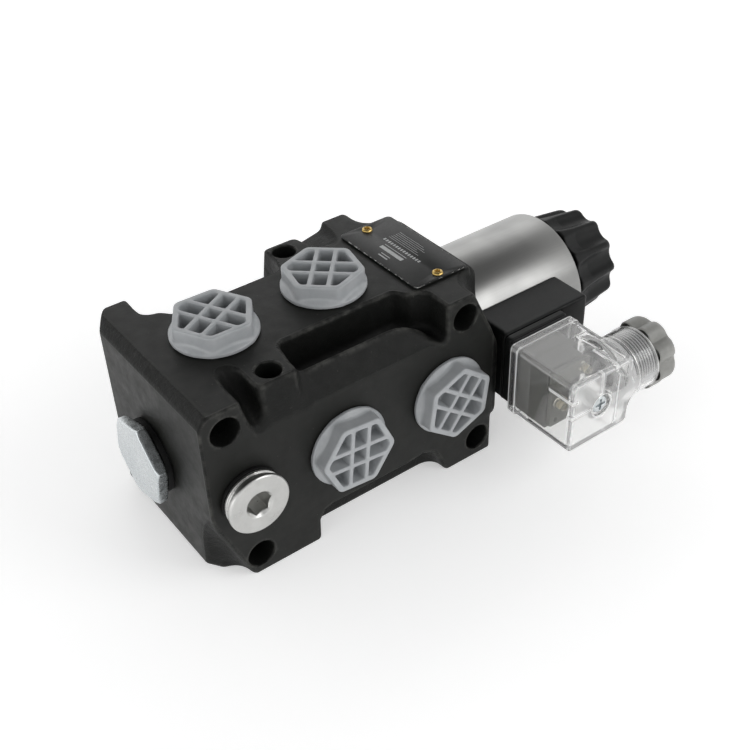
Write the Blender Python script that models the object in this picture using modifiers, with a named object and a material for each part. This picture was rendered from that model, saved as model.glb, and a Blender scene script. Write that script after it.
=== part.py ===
"""Solenoid directional valve: six-port cast body, spool, wet armature solenoid and plug connector.

Frame: +X along the spool axis from the end plug to the solenoid, -Y the front face with two ports,
+Z up, origin at the middle of the body's underside. Lengths below are in millimetres and become
metres in the mesh helpers.
"""
import math

import bmesh
import bpy
from mathutils import Matrix, Vector

MM = 0.001
GAP = 0.3                 # clearance between touching pieces

# ---- driving dimensions -------------------------------------------------------------------
BODY_LENGTH = 111.0       # end face to coil seat
BODY_WIDTH = 67.0
BODY_HEIGHT = 68.4
AXIS_Z = BODY_HEIGHT / 2  # spool axis
X_SHIFT = -BODY_LENGTH / 2
FRONT = -BODY_WIDTH / 2
BACK = BODY_WIDTH / 2

CASTING_END = 108.6       # cast faces stop here, the round coil seat goes on to BODY_LENGTH
COIL_SEAT_RADIUS = 38.0

PORT_BORE = 10.2
PORT_DEPTH = 15.0
PORT_PASSAGE = 6.5
TOP_PORTS = {"top_1": (25.65, 28.1), "top_2": (65.55, 47.9)}        # x, plug turn in degrees
FRONT_PORTS = {"front_1": (48.7, 84.1), "front_2": (88.6, 52.2)}
BACK_PORTS = {"back_1": (37.2, 15.0), "back_2": (77.1, 40.0)}
CHAMBER_RADIUS = 11.0
CHAMBER_WIDTH = 8.0

TIE_ROD_RADIUS = 4.75
TIE_ROD_HOLES = ((8.2, 60.7), (96.1, 60.7), (14.9, 7.7), (102.6, 7.7))   # x, z, along Y
MOUNT_HOLE_RADIUS = 4.0
MOUNT_HOLE_DEPTH = 20.0
MOUNT_HOLES = ((28.4, -25.5), (67.2, 25.5))                            # x, y, blind from the top
RIB_CENTRE_X = 47.8       # the top of the casting repeats half a turn about this point

SPOOL_BORE = 8.3
SPOOL_RADIUS = 8.0
SPOOL_NECK = 4.8
SPOOL_START, SPOOL_END = 19.3, 97.0
SPOOL_GROOVES = ((31.5, 46.5), (71.4, 86.4))

DRAIN_X = 13.3
DRAIN_RADIUS = 10.2
DRAIN_HEIGHT = 6.0

END_HEX_RADIUS = 14.7
END_HEX_TURN = 104.0
END_BORE = 10.5

PLUG_HEX_RADIUS = 13.66
PLUG_HEIGHT = 7.1
PLUG_RIB_OFFSET = 3.0
PLUG_RIB_WIDTH = 1.6

TUBE_RADIUS = 9.4
TUBE_END = 177.2
ARMATURE_RADIUS = 7.2
ARMATURE_START, ARMATURE_END = 132.5, 158.0

COIL_RADIUS = 23.5
COIL_START, COIL_END = 112.0, 160.0
COIL_WALL = 2.2

BOX_X = (112.3, 149.3)
BOX_HALF_HEIGHT = 13.6
BOX_FACE_Y = -35.4

CONNECTOR_X = 123.1
CONNECTOR_SIZE = 27.5
CONNECTOR_BACK, CONNECTOR_FRONT = -40.3, -69.6
CONNECTOR_WALL = 1.8
CONNECTOR_CORNER = 1.6

GLAND_Y = -57.8
GLAND_NECK_RADIUS = 11.5
GLAND_NECK_END = 150.6
GLAND_NUT_END = 159.6
GLAND_LOBES = 8

NUT_START, NUT_END = 161.9, 183.2
NUT_RADIUS = 20.4
NUT_END_RADIUS = 18.2
NUT_COLLAR = 3.2
NUT_LOBES = 12
NUT_LOBE_DEPTH = 2.2

PLATE_X = (86.4, 107.4)
PLATE_HALF_WIDTH = 20.7
RIVETS = ((97.4, -17.0), (97.4, 18.4))

# ---- scene set-up -------------------------------------------------------------------------
for old in list(bpy.data.objects):
    bpy.data.objects.remove(old, do_unlink=True)

parts = bpy.data.collections.new("solenoid_directional_valve")
cutters = bpy.data.collections.new("cutters")
for collection in (parts, cutters):
    bpy.context.scene.collection.children.link(collection)


def material(name, colour, roughness, metallic=0.0, alpha=1.0):
    mat = bpy.data.materials.new(name)
    mat.use_nodes = True
    shader = mat.node_tree.nodes["Principled BSDF"]
    shader.inputs["Base Color"].default_value = (*colour, 1.0)
    shader.inputs["Roughness"].default_value = roughness
    shader.inputs["Metallic"].default_value = metallic
    shader.inputs["Alpha"].default_value = alpha
    return mat


CAST = material("black_casting", (0.035, 0.036, 0.034), 0.55, 0.3)
GREY_PLASTIC = material("grey_plastic", (0.22, 0.23, 0.24), 0.45)
ZINC = material("zinc_plate", (0.75, 0.76, 0.74), 0.3, 1.0)
STEEL = material("steel", (0.5, 0.5, 0.5), 0.3, 1.0)
COIL_STEEL = material("coil_steel", (0.42, 0.42, 0.41), 0.35, 1.0)
BLACK_PLASTIC = material("black_plastic", (0.02, 0.02, 0.02), 0.5)
RUBBER = material("rubber", (0.015, 0.015, 0.015), 0.8)
COPPER = material("copper", (0.6, 0.25, 0.12), 0.35, 1.0)
NYLON = material("nylon", (0.6, 0.58, 0.5), 0.5)
CLEAR = material("clear_plastic", (0.85, 0.87, 0.86), 0.1, 0.0, 0.35)
BRASS = material("brass", (0.7, 0.5, 0.2), 0.3, 1.0)
PLATE = material("name_plate", (0.06, 0.06, 0.06), 0.35, 0.5)
BOARD = material("circuit_board", (0.35, 0.33, 0.25), 0.5)
LAMP = material("lamp", (0.85, 0.75, 0.6), 0.2)

TURN_TO_X = Matrix.Rotation(math.radians(90), 4, "Y")          # local Z to +X
TURN_TO_FRONT = Matrix.Rotation(math.radians(90), 4, "X")      # local Z to -Y
TURN_TO_BACK = Matrix.Rotation(math.radians(-90), 4, "X")      # local Z to +Y
NO_TURN = Matrix.Identity(4)


# ---- mesh helpers -------------------------------------------------------------------------
def place(x, y, z):
    """A point given from the end face, mid width and underside, in metres."""
    return Vector(((x + X_SHIFT) * MM, y * MM, z * MM))


def new_object(name, data, mat, at, turn=NO_TURN):
    """Link an object; without a material it is a cutter."""
    obj = bpy.data.objects.new(name, data)
    obj.matrix_world = Matrix.Translation(at) @ turn
    if mat:
        data.materials.append(mat)
        parts.objects.link(obj)
    else:
        cutters.objects.link(obj)
        obj.hide_render = True
        obj.display_type = "WIRE"
    return obj


def smooth(mesh, angle=35.0):
    mesh.shade_smooth()
    mesh.set_sharp_from_angle(angle=math.radians(angle))


def mesh_from(name, bm):
    mesh = bpy.data.meshes.new(name)
    bm.to_mesh(mesh)
    bm.free()
    return mesh


def box(name, low, high, mat=None, turn=NO_TURN):
    """A box between two corners, turned about its own centre."""
    bm = bmesh.new()
    size = [(b - a) * MM for a, b in zip(low, high)]
    bmesh.ops.create_cube(bm, size=1.0, matrix=Matrix.Diagonal((*size, 1.0)))
    centre = [(a + b) / 2 for a, b in zip(low, high)]
    return new_object(name, mesh_from(name, bm), mat, place(*centre), turn)


def rod(name, at, length, radius, turn, mat=None, segments=20, end_radius=None, spin=0.0):
    """A cylinder or cone from a point along the turned local Z."""
    bm = bmesh.new()
    shift = Matrix.Translation((0, 0, length * MM / 2)) @ Matrix.Rotation(math.radians(spin), 4, "Z")
    far = radius if end_radius is None else end_radius
    bmesh.ops.create_cone(bm, cap_ends=True, segments=segments, radius1=radius * MM,
                          radius2=far * MM, depth=length * MM, matrix=shift)
    mesh = mesh_from(name, bm)
    smooth(mesh)
    return new_object(name, mesh, mat, place(*at), turn)


def turned(name, profile, at, turn, mat=None, steps=20, ring=False):
    """A turned shape: (radius, height) points down the outer side, closed for a ring."""
    bm = bmesh.new()
    verts = [bm.verts.new((r * MM, 0.0, h * MM)) for r, h in profile]
    for first, second in zip(verts, verts[1:]):
        bm.edges.new((first, second))
    if ring:
        bm.edges.new((verts[-1], verts[0]))
    obj = new_object(name, mesh_from(name, bm), mat, place(*at), turn)
    screw = obj.modifiers.new("turn", "SCREW")
    screw.steps = screw.render_steps = steps
    screw.use_merge_vertices = True
    screw.merge_threshold = 0.00001
    screw.use_smooth_shade = False
    return obj


def tube(name, x_from, x_to, outer, inner, mat=None, y=0.0, z=AXIS_Z, steps=20):
    """A plain ring along X."""
    length = x_to - x_from
    profile = [(outer, length), (outer, 0), (inner, 0), (inner, length)]
    return turned(name, profile, (x_from, y, z), TURN_TO_X, mat, steps, ring=True)


def outline_mesh(name, points, thickness):
    """A filled 2D curve extruded both ways, made a closed mesh."""
    curve = bpy.data.curves.new(name, "CURVE")
    curve.dimensions = "2D"
    curve.fill_mode = "BOTH"
    curve.extrude = thickness * MM / 2
    spline = curve.splines.new("POLY")
    spline.points.add(len(points) - 1)
    for point, (x, y) in zip(spline.points, points):
        point.co = (x * MM, y * MM, 0.0, 1.0)
    spline.use_cyclic_u = True
    holder = bpy.data.objects.new(name, curve)
    cutters.objects.link(holder)
    graph = bpy.context.evaluated_depsgraph_get()
    mesh = bpy.data.meshes.new_from_object(holder.evaluated_get(graph))
    bpy.data.objects.remove(holder, do_unlink=True)
    bpy.data.curves.remove(curve)
    bm = bmesh.new()
    bm.from_mesh(mesh)
    bmesh.ops.remove_doubles(bm, verts=bm.verts, dist=1e-6)
    bm.to_mesh(mesh)
    bm.free()
    return mesh


def plate(name, points, thickness, at, turn=NO_TURN, mat=None):
    """An extruded outline centred on a point."""
    return new_object(name, outline_mesh(name, points, thickness), mat, place(*at), turn)


def boolean(target, other, operation="DIFFERENCE"):
    step = target.modifiers.new(other.name, "BOOLEAN")
    step.operation = operation
    step.object = other
    return target


def cut(target, *others):
    for other in others:
        boolean(target, other)
    return target


def join(target, *others):
    for other in others:
        boolean(target, other, "UNION")
    return target


def bevel(obj, width, segments=1, angle=35.0):
    step = obj.modifiers.new("bevel", "BEVEL")
    step.width = width * MM
    step.segments = segments
    step.limit_method = "ANGLE"
    step.angle_limit = math.radians(angle)
    step.use_clamp_overlap = True
    return obj


def lobed_outline(radius, depth, lobes, phase, per_lobe=6, power=1.0):
    """A round outline with evenly spaced crests and scooped valleys."""
    points = []
    for index in range(lobes * per_lobe):
        angle = math.tau * index / (lobes * per_lobe)
        wave = 0.5 - 0.5 * math.cos(lobes * angle)
        reach = radius - depth * wave ** power
        turn = angle + math.radians(phase)
        points.append((reach * math.cos(turn), reach * math.sin(turn)))
    return points


# ---- valve body ---------------------------------------------------------------------------
def top_cut(name, outline, floor_back, floor_front, behind):
    """Pocket cut down from the top, its floor sloping outwards from floor_back to floor_front."""
    back_y, front_y = -16.0, FRONT
    slope = math.atan2(floor_back - floor_front, back_y - front_y)
    mid_y = (back_y + front_y) / 2
    height = 24.0
    mid_z = (floor_back + floor_front) / 2 + height / 2 * math.cos(slope)
    turn = Matrix.Rotation(slope, 4, "X")
    local = [(x - RIB_CENTRE_X, (y - mid_y) / math.cos(slope)) for x, y in outline]
    if behind:
        turn = Matrix.Rotation(math.pi, 4, "Z") @ turn
        mid_y = -mid_y
    mid_y += (-1 if behind else 1) * -height / 2 * math.sin(slope)
    return plate(name, local, height, (RIB_CENTRE_X, mid_y, mid_z), turn)


def top_cutters(side, end_x, behind):
    """Groove, long pocket and set-back column face for one long side, as seen from that side.

    The front pocket keeps a low outer lip; the back one is deeper and open to the side.
    """
    if behind:
        groove = [(12.0, -19.5), (16.0, -20.5), (19.0, -24.0), (20.4, -30.0), (20.8, -37.0),
                  (8.0, -37.0), (9.0, -26.0), (9.8, -22.0)]
        pocket = [(34.6, -17.2), (33.4, -27.0), (33.2, -37.0), (end_x - 0.4, -37.0),
                  (end_x, -26.0), (end_x - 1.2, -23.2), (end_x - 5.2, -22.7),
                  (end_x - 7.2, -19.3), (end_x - 8.2, -17.2)]
        made = [top_cut(side + "_groove_cut", groove, 67.9, 64.0, behind),
                top_cut(side + "_pocket_cut", pocket, 47.0, 47.0, behind)]
        faces = (("column", 20.3, 33.8),)
    else:
        groove = [(17.4, -14.0), (19.6, -15.0), (21.6, -19.0), (22.4, -28.0), (23.4, -37.0),
                  (13.8, -37.0), (14.4, -24.0), (15.6, -18.0)]
        pocket = [(37.6, -16.2), (35.2, -27.6), (end_x - 10.0, -27.6), (end_x - 5.2, -22.7),
                  (end_x - 7.2, -19.3), (end_x - 8.2, -16.2)]
        open_end = [(end_x - 14.0, -21.0), (end_x - 7.2, -19.3), (end_x - 5.2, -22.7),
                    (end_x - 1.2, -23.2), (end_x, -26.0), (end_x - 0.4, -37.0), (end_x - 10.0, -37.0)]
        made = [top_cut(side + "_groove_cut", groove, 67.4, 55.0, behind),
                top_cut(side + "_pocket_cut", pocket, 54.6, 54.6, behind),
                top_cut(side + "_open_end_cut", open_end, 61.0, 50.0, behind)]
        faces = (("rim", 34.4, end_x - 1.0), ("column", 19.0, 35.0))
    sections = {"rim": [(-28.0, 75.0), (-28.0, 66.6), (-33.6, 56.2), (-40.0, 44.3), (-40.0, 75.0)],
                "column": [(-30.6, 75.0), (-30.6, 67.6), (-33.6, 56.0), (-40.0, 50.0), (-40.0, 75.0)]}
    for label, x_from, x_to in faces:
        turn = Matrix.Rotation(math.radians(90), 4, "Z") @ Matrix.Rotation(math.radians(90), 4, "X")
        middle = (x_from + x_to) / 2
        if behind:
            turn = Matrix.Rotation(math.pi, 4, "Z") @ turn
            middle = 2 * RIB_CENTRE_X - middle
        made.append(plate(side + "_" + label + "_cut", sections[label], x_to - x_from,
                          (middle, 0, 0), turn))
    return made


def corner_pocket(name, low, high, wall_y, radius, outward):
    """Cast corner cut back to a slanting line in XZ, up to a wall at wall_y with a round root."""
    run, rise = high[0] - low[0], high[1] - low[1]
    length = math.hypot(run, rise)
    normal = Vector((rise / length, 0, -run / length))
    if normal.x * outward < 0:
        normal.negate()
    side = math.copysign(1.0, wall_y)
    along = normal.cross(Vector((0, 1, 0)))
    turn = Matrix((normal, (0, 1, 0), along)).transposed().to_4x4()
    outline = [(0.0, side * 45), (0.0, wall_y + side * radius)]
    for step in range(1, 5):
        angle = math.radians(22.5 * step)
        outline.append((radius * (1 - math.cos(angle)), wall_y + side * radius * (1 - math.sin(angle))))
    outline += [(40.0, wall_y), (40.0, side * 45)]
    middle = ((low[0] + high[0]) / 2, 0.0, (low[1] + high[1]) / 2)
    return plate(name, outline, 90.0, middle, turn)


def make_body():
    body = box("valve_body", (0, FRONT, 0), (CASTING_END, BACK, BODY_HEIGHT), CAST)
    bevel(body, 0.8, 1)
    # round coil seat, clear of the connector when the coil is swung round
    seat = rod("coil_seat", (100.0, 0, AXIS_Z), BODY_LENGTH - 100.0, COIL_SEAT_RADIUS, TURN_TO_X,
               None, 40)
    limits = box("coil_seat_limits", (90, FRONT + 0.4, 1.0), (120, BACK - 0.4, BODY_HEIGHT - 1.6))
    boolean(seat, limits, "INTERSECT")
    join(body, seat)
    # chamfers along the end face: top, bottom and the back corner
    for name, at_z, angle, size in (("top_chamfer", BODY_HEIGHT, 45, 3.1),
                                    ("bottom_chamfer", 0, -45, 5.3)):
        block = box(name + "_cut", (-10, -40, at_z - 10), (10, 40, at_z + 10), None,
                    Matrix.Rotation(math.radians(angle), 4, "Y"))
        offset = (size / math.sqrt(2) - 10) / math.sqrt(2) * MM
        block.matrix_world.translation += Vector((offset, 0, -offset if at_z else offset))
        cut(body, block)
    back_corner = [(-4, 27.2), (0, 27.2), (5.2, BACK), (5.2, 38), (-4, 38)]
    cut(body, plate("back_corner_cut", back_corner, 90, (0, 0, AXIS_Z)))
    # cast corners cut back to slanting lines
    cut(body, corner_pocket("front_low_cut", (11.5, 0.2), (0.0, 28.3), -25.0, 4.0, -1),
        corner_pocket("front_high_cut", (108.5, 50.0), (100.0, 68.0), -21.4, 4.5, 1),
        corner_pocket("back_high_cut", (107.0, 50.0), (97.4, 68.4), 21.4, 4.5, 1))
    cut(body, *top_cutters("front", 88.2, False), *top_cutters("back", 82.2, True))
    # recesses under the long sides
    recess = [(37.4, -3), (37.6, 8.0), (39.5, 11.2), (42.5, 12.2), (73.0, 12.0), (79.0, 12.8),
              (84.0, 10.6), (88.4, 0.8), (89.4, -3)]
    cut(body, plate("front_recess_cut", recess, 15, (0, FRONT, 0), TURN_TO_FRONT))
    cut(body, plate("back_recess_cut", recess, 15, (0, BACK, 0), TURN_TO_FRONT))
    # drilled and bored holes
    bore = turned("spool_bore_cut", [(0, 111.5), (13.2, 111.5), (13.2, 98.2), (SPOOL_BORE, 98.2),
                                     (SPOOL_BORE, 13.2), (END_BORE, 13.2), (END_BORE, -1), (0, -1)],
                  (0, 0, AXIS_Z), TURN_TO_X)
    cut(body, bore)
    for name, (x, _) in {**TOP_PORTS, **FRONT_PORTS, **BACK_PORTS}.items():
        cut(body, tube(name + "_chamber_cut", x - CHAMBER_WIDTH / 2, x + CHAMBER_WIDTH / 2,
                       CHAMBER_RADIUS, 6.0, steps=12))
    for ports, face, turn in ((TOP_PORTS, (0, BODY_HEIGHT), NO_TURN),
                              (FRONT_PORTS, (FRONT, AXIS_Z), TURN_TO_FRONT),
                              (BACK_PORTS, (BACK, AXIS_Z), TURN_TO_BACK)):
        reach = (BODY_HEIGHT if ports is TOP_PORTS else BODY_WIDTH) / 2
        for name, (x, _) in ports.items():
            profile = [(0, 1), (PORT_BORE, 1), (PORT_BORE, -PORT_DEPTH),
                       (PORT_PASSAGE, -PORT_DEPTH), (PORT_PASSAGE, 4.0 - reach), (0, 4.0 - reach)]
            cut(body, turned(name + "_port_cut", profile, (x, *face), turn, None, 16))
    drain = [(0, 1), (8.4, 1), (8.4, -13), (2.6, -15), (2.6, -27), (0, -27)]
    cut(body, turned("drain_cut", drain, (DRAIN_X, FRONT, AXIS_Z), TURN_TO_FRONT, None, 16))
    for index, (x, z) in enumerate(TIE_ROD_HOLES, 1):
        cut(body, rod("tie_rod_cut_%d" % index, (x, BACK + 2, z), BODY_WIDTH + 4, TIE_ROD_RADIUS,
                      TURN_TO_FRONT, None, 16))
    for index, (x, y) in enumerate(MOUNT_HOLES, 1):
        cut(body, rod("mount_cut_%d" % index, (x, y, BODY_HEIGHT - MOUNT_HOLE_DEPTH),
                      MOUNT_HOLE_DEPTH + 2, MOUNT_HOLE_RADIUS, NO_TURN, None, 16))
    for index, (x, y) in enumerate(RIVETS, 1):
        cut(body, rod("rivet_hole_cut_%d" % index, (x, y, BODY_HEIGHT - 2.4), 4, 1.3, NO_TURN,
                      None, 8))
    return body


# ---- plugs in the ports -------------------------------------------------------------------
def make_port_plug(name, at, turn, spin):
    """Hexagonal cap with a crossed grid over its hollow, on a flange and a hollow shank."""
    turn = turn @ Matrix.Rotation(math.radians(spin), 4, "Z")
    profile = [(0, 2.9), (11.9, 2.9), (13.8, 1.7), (13.8, GAP), (9.85, GAP), (9.85, -7.5),
               (8.2, -7.5), (8.2, -0.2), (0, -0.2)]
    plug = turned("port_plug_" + name, profile, at, turn, GREY_PLASTIC)
    base = Vector(at) + 1.5 * (turn.to_3x3() @ Vector((0, 0, 1)))
    join(plug, rod(name + "_hex", base, PLUG_HEIGHT - 1.5, PLUG_HEX_RADIUS, turn, None, 6, None, 30))
    floor = Vector(at) + 1.9 * (turn.to_3x3() @ Vector((0, 0, 1)))
    cells = rod(name + "_cells", floor, PLUG_HEIGHT, PLUG_HEX_RADIUS - 1.9, turn, None, 6, None, 30)
    middle = Vector(at) + 5.0 * (turn.to_3x3() @ Vector((0, 0, 1)))
    for index, offset in enumerate((-PLUG_RIB_OFFSET, PLUG_RIB_OFFSET)):
        for label, wide, long in (("a", PLUG_RIB_WIDTH, 40), ("b", 40, PLUG_RIB_WIDTH)):
            shift = (offset, 0, 0) if label == "a" else (0, offset, 0)
            centre = middle + turn.to_3x3() @ Vector(shift)
            low = centre - Vector((wide, long, 20)) / 2
            high = centre + Vector((wide, long, 20)) / 2
            cut(cells, box("%s_rib_%s%d" % (name, label, index), low, high, None, turn))
    return cut(plug, cells)


def make_port_plugs():
    for ports, face, turn in ((TOP_PORTS, (0, BODY_HEIGHT), NO_TURN),
                              (FRONT_PORTS, (FRONT, AXIS_Z), TURN_TO_FRONT),
                              (BACK_PORTS, (BACK, AXIS_Z), TURN_TO_BACK)):
        for name, (x, spin) in ports.items():
            make_port_plug(name, (x, *face), turn, spin)


def make_drain_plug():
    """Zinc plug: collar with a groove round it, threaded shank and a hexagon socket."""
    top = DRAIN_HEIGHT
    profile = [(0, top), (9.7, top), (DRAIN_RADIUS, top - 0.5), (DRAIN_RADIUS, top - 1.5),
               (9.0, top - 1.9), (9.0, top - 3.2), (9.7, top - 3.6), (9.7, 1.7), (8.1, 1.7),
               (8.1, -11), (0, -11)]
    at = (DRAIN_X, FRONT, AXIS_Z)
    plug = turned("drain_plug", profile, at, TURN_TO_FRONT, ZINC)
    socket = rod("drain_socket", (DRAIN_X, FRONT + 2.0, AXIS_Z), 12, 4.2, TURN_TO_FRONT, None, 6,
                 None, 10)
    cut(plug, socket)
    seal = [(9.9, 1.4), (9.9, GAP), (8.5, GAP), (8.5, 1.4)]
    turned("drain_plug_seal", seal, at, TURN_TO_FRONT, RUBBER, ring=True)


def make_end_plug():
    """Hexagon plug over the spring chamber."""
    hexagon = rod("end_plug", (-6.5, 0, AXIS_Z), 3.9, END_HEX_RADIUS, TURN_TO_X, ZINC, 6, None, 0)
    hexagon.matrix_world = hexagon.matrix_world @ Matrix.Rotation(math.radians(180 - END_HEX_TURN), 4, "Z")
    crown = turned("end_plug_crown", [(0, 6), (END_HEX_RADIUS + 3, 6), (12.2, 0), (0, 0)],
                   (-6.5, 0, AXIS_Z), TURN_TO_X)
    boolean(hexagon, crown, "INTERSECT")
    shank = turned("end_plug_shank", [(0, 14.0), (9.0, 14.0), (10.2, 12.8), (10.2, 0), (0, 0)],
                   (-2.9, 0, AXIS_Z), TURN_TO_X)
    join(hexagon, shank)
    cut(hexagon, rod("spring_chamber_cut", (0.0, 0, AXIS_Z), 14, 7.0, TURN_TO_X))
    seal = tube("end_plug_seal", -2.3, -GAP, 12.3, 10.6, ZINC)
    return hexagon, seal


# ---- spool train --------------------------------------------------------------------------
def make_spool():
    """Spool with two control grooves, balancing grooves and a spigot for the spring seat."""
    profile = [(0, SPOOL_END)]
    edges = [(SPOOL_END, SPOOL_RADIUS)]
    for low, high in reversed(SPOOL_GROOVES):
        edges += [(high, SPOOL_RADIUS), (high, SPOOL_NECK), (low, SPOOL_NECK), (low, SPOOL_RADIUS)]
    edges += [(SPOOL_START, SPOOL_RADIUS), (SPOOL_START, 3.0), (SPOOL_START - 3.5, 3.0)]
    profile += [(radius, x) for x, radius in edges] + [(0, SPOOL_START - 3.5)]
    turned("spool", profile, (0, 0, AXIS_Z), TURN_TO_X, STEEL)
    tube("spring_seat", 17.4, SPOOL_START - GAP, 7.4, 3.3, STEEL, steps=20)


def make_spring():
    """Coil spring between the end plug's chamber and the spring seat."""
    start, end, wire, radius, turns, per_turn = 0.4, 17.0, 0.75, 5.4, 5.5, 10
    curve = bpy.data.curves.new("return_spring", "CURVE")
    curve.dimensions = "3D"
    curve.bevel_depth = wire * MM
    curve.bevel_resolution = 2
    curve.use_fill_caps = True
    spline = curve.splines.new("POLY")
    count = int(turns * per_turn) + 1
    spline.points.add(count - 1)
    first, last = start + wire, end - wire
    for index, point in enumerate(spline.points):
        share = index / (count - 1)
        angle = math.tau * turns * share
        point.co = ((first + (last - first) * share) * MM, radius * math.cos(angle) * MM,
                    radius * math.sin(angle) * MM, 1.0)
    new_object("return_spring", curve, STEEL, place(0, 0, AXIS_Z))


def make_tube():
    """Core tube with its threaded adaptor, end plug, armature, push pin and override pin."""
    profile = [(TUBE_RADIUS, TUBE_END), (TUBE_RADIUS, BODY_LENGTH + 0.2), (12.9, BODY_LENGTH + 0.2),
               (12.9, 98.6), (2.6, 98.6), (2.6, 128.0), (7.6, 128.0), (7.6, TUBE_END)]
    turned("core_tube", profile, (0, 0, AXIS_Z), TURN_TO_X, STEEL, ring=True)
    tube("tube_end_plug", TUBE_END - 8.0, TUBE_END, 7.3, 2.6, STEEL)
    tube("armature", ARMATURE_START, ARMATURE_END, ARMATURE_RADIUS, 1.2, STEEL)
    rod("push_pin", (SPOOL_END + GAP, 0, AXIS_Z), ARMATURE_START - SPOOL_END - 2 * GAP, 2.2,
        TURN_TO_X, STEEL, 12)
    end = TUBE_END + 4.6
    flange = TUBE_END - 8.4
    pin = [(0, end), (1.8, end), (2.2, end - 0.4), (2.2, flange), (3.4, flange), (3.4, flange - 2.0),
           (2.2, flange - 2.0), (2.2, 161.6), (0, 161.6)]
    turned("override_pin", pin, (0, 0, AXIS_Z), TURN_TO_X, BRASS, 16)


# ---- coil ---------------------------------------------------------------------------------
def make_coil():
    """Steel case with its end plate, bobbin, winding and the two face seals."""
    inner = COIL_RADIUS - COIL_WALL
    length = COIL_END - COIL_START
    profile = [(COIL_RADIUS - 0.8, length), (COIL_RADIUS, length - 0.8), (COIL_RADIUS, 0.8),
               (COIL_RADIUS - 0.8, 0), (13.2, 0), (13.2, 1.6), (9.8, 1.6), (9.8, 3.0), (inner, 3.0),
               (inner, length)]
    case = turned("coil_case", profile, (COIL_START, 0, AXIS_Z), TURN_TO_X, COIL_STEEL, 32, True)
    cut(case, box("case_window_cut", (117.4, -30, AXIS_Z - 8.4), (146.6, -15, AXIS_Z + 8.4)))
    tube("coil_front_seal", 111.5, 113.3, 12.9, 10.2, RUBBER)
    tube("coil_bobbin_tube", 115.3, 156.0, 20.8, 9.8)
    waist = tube("bobbin_waist_cut", 116.9, 154.4, 26.0, 11.0)
    bobbin = tube("coil_bobbin", 115.3, 156.0, 20.8, 9.8, NYLON)
    cut(bobbin, waist)
    bpy.data.objects.remove(bpy.data.objects["coil_bobbin_tube"], do_unlink=True)
    tube("coil_winding", 117.2, 154.1, 20.2, 11.3, COPPER)
    tube("coil_end_plate", 156.3, 159.7, 21.0, 9.8, STEEL)
    tube("coil_rear_seal", 160.3, 161.6, 20.8, 10.2, RUBBER)


def make_terminal_box():
    """Moulded socket base saddled on the coil case, with two blades and an earth blade."""
    low, high = BOX_X
    base = box("terminal_box", (low, BOX_FACE_Y, AXIS_Z - BOX_HALF_HEIGHT),
               (high, -15.0, AXIS_Z + BOX_HALF_HEIGHT), BLACK_PLASTIC)
    cut(base, rod("saddle_cut", (100, 0, AXIS_Z), 60, COIL_RADIUS + 0.4, TURN_TO_X, None, 32))
    half = CONNECTOR_SIZE / 2 - 0.6
    join(base, box("socket_plinth", (CONNECTOR_X - 11.6, -38.2, AXIS_Z - half),
                   (CONNECTOR_X + half, -34.0, AXIS_Z + half)))
    join(base, box("coil_neck", (117.8, -30.0, AXIS_Z - 8.0), (146.2, -21.0, AXIS_Z + 8.0)))
    cut(base, rod("stud_hole_cut", (CONNECTOR_X, -32.0, AXIS_Z), 10, 1.9, TURN_TO_FRONT, None, 12))
    for name, x, z, wide, tall in (("terminal_blade_1", CONNECTOR_X, AXIS_Z + 9.0, 6.3, 0.8),
                                   ("terminal_blade_2", CONNECTOR_X, AXIS_Z - 9.0, 6.3, 0.8),
                                   ("terminal_blade_earth", CONNECTOR_X - 9.0, AXIS_Z, 0.8, 6.3)):
        pocket = box(name + "_pocket_cut", (x - wide / 2 - GAP, -40, z - tall / 2 - GAP),
                     (x + wide / 2 + GAP, -34.5, z + tall / 2 + GAP))
        cut(base, pocket)
        box(name, (x - wide / 2, -48.0, z - tall / 2), (x + wide / 2, -34.8, z + tall / 2), STEEL)


# ---- connector ----------------------------------------------------------------------------
def rounded_square(size, corner, steps=3):
    points = []
    half = size / 2 - corner
    for quarter in range(4):
        cx = half if quarter in (0, 3) else -half
        cy = half if quarter in (0, 1) else -half
        for step in range(steps + 1):
            angle = math.radians(90 * quarter + 90 * step / steps)
            points.append((cx + corner * math.cos(angle), cy + corner * math.sin(angle)))
    return points


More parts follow.
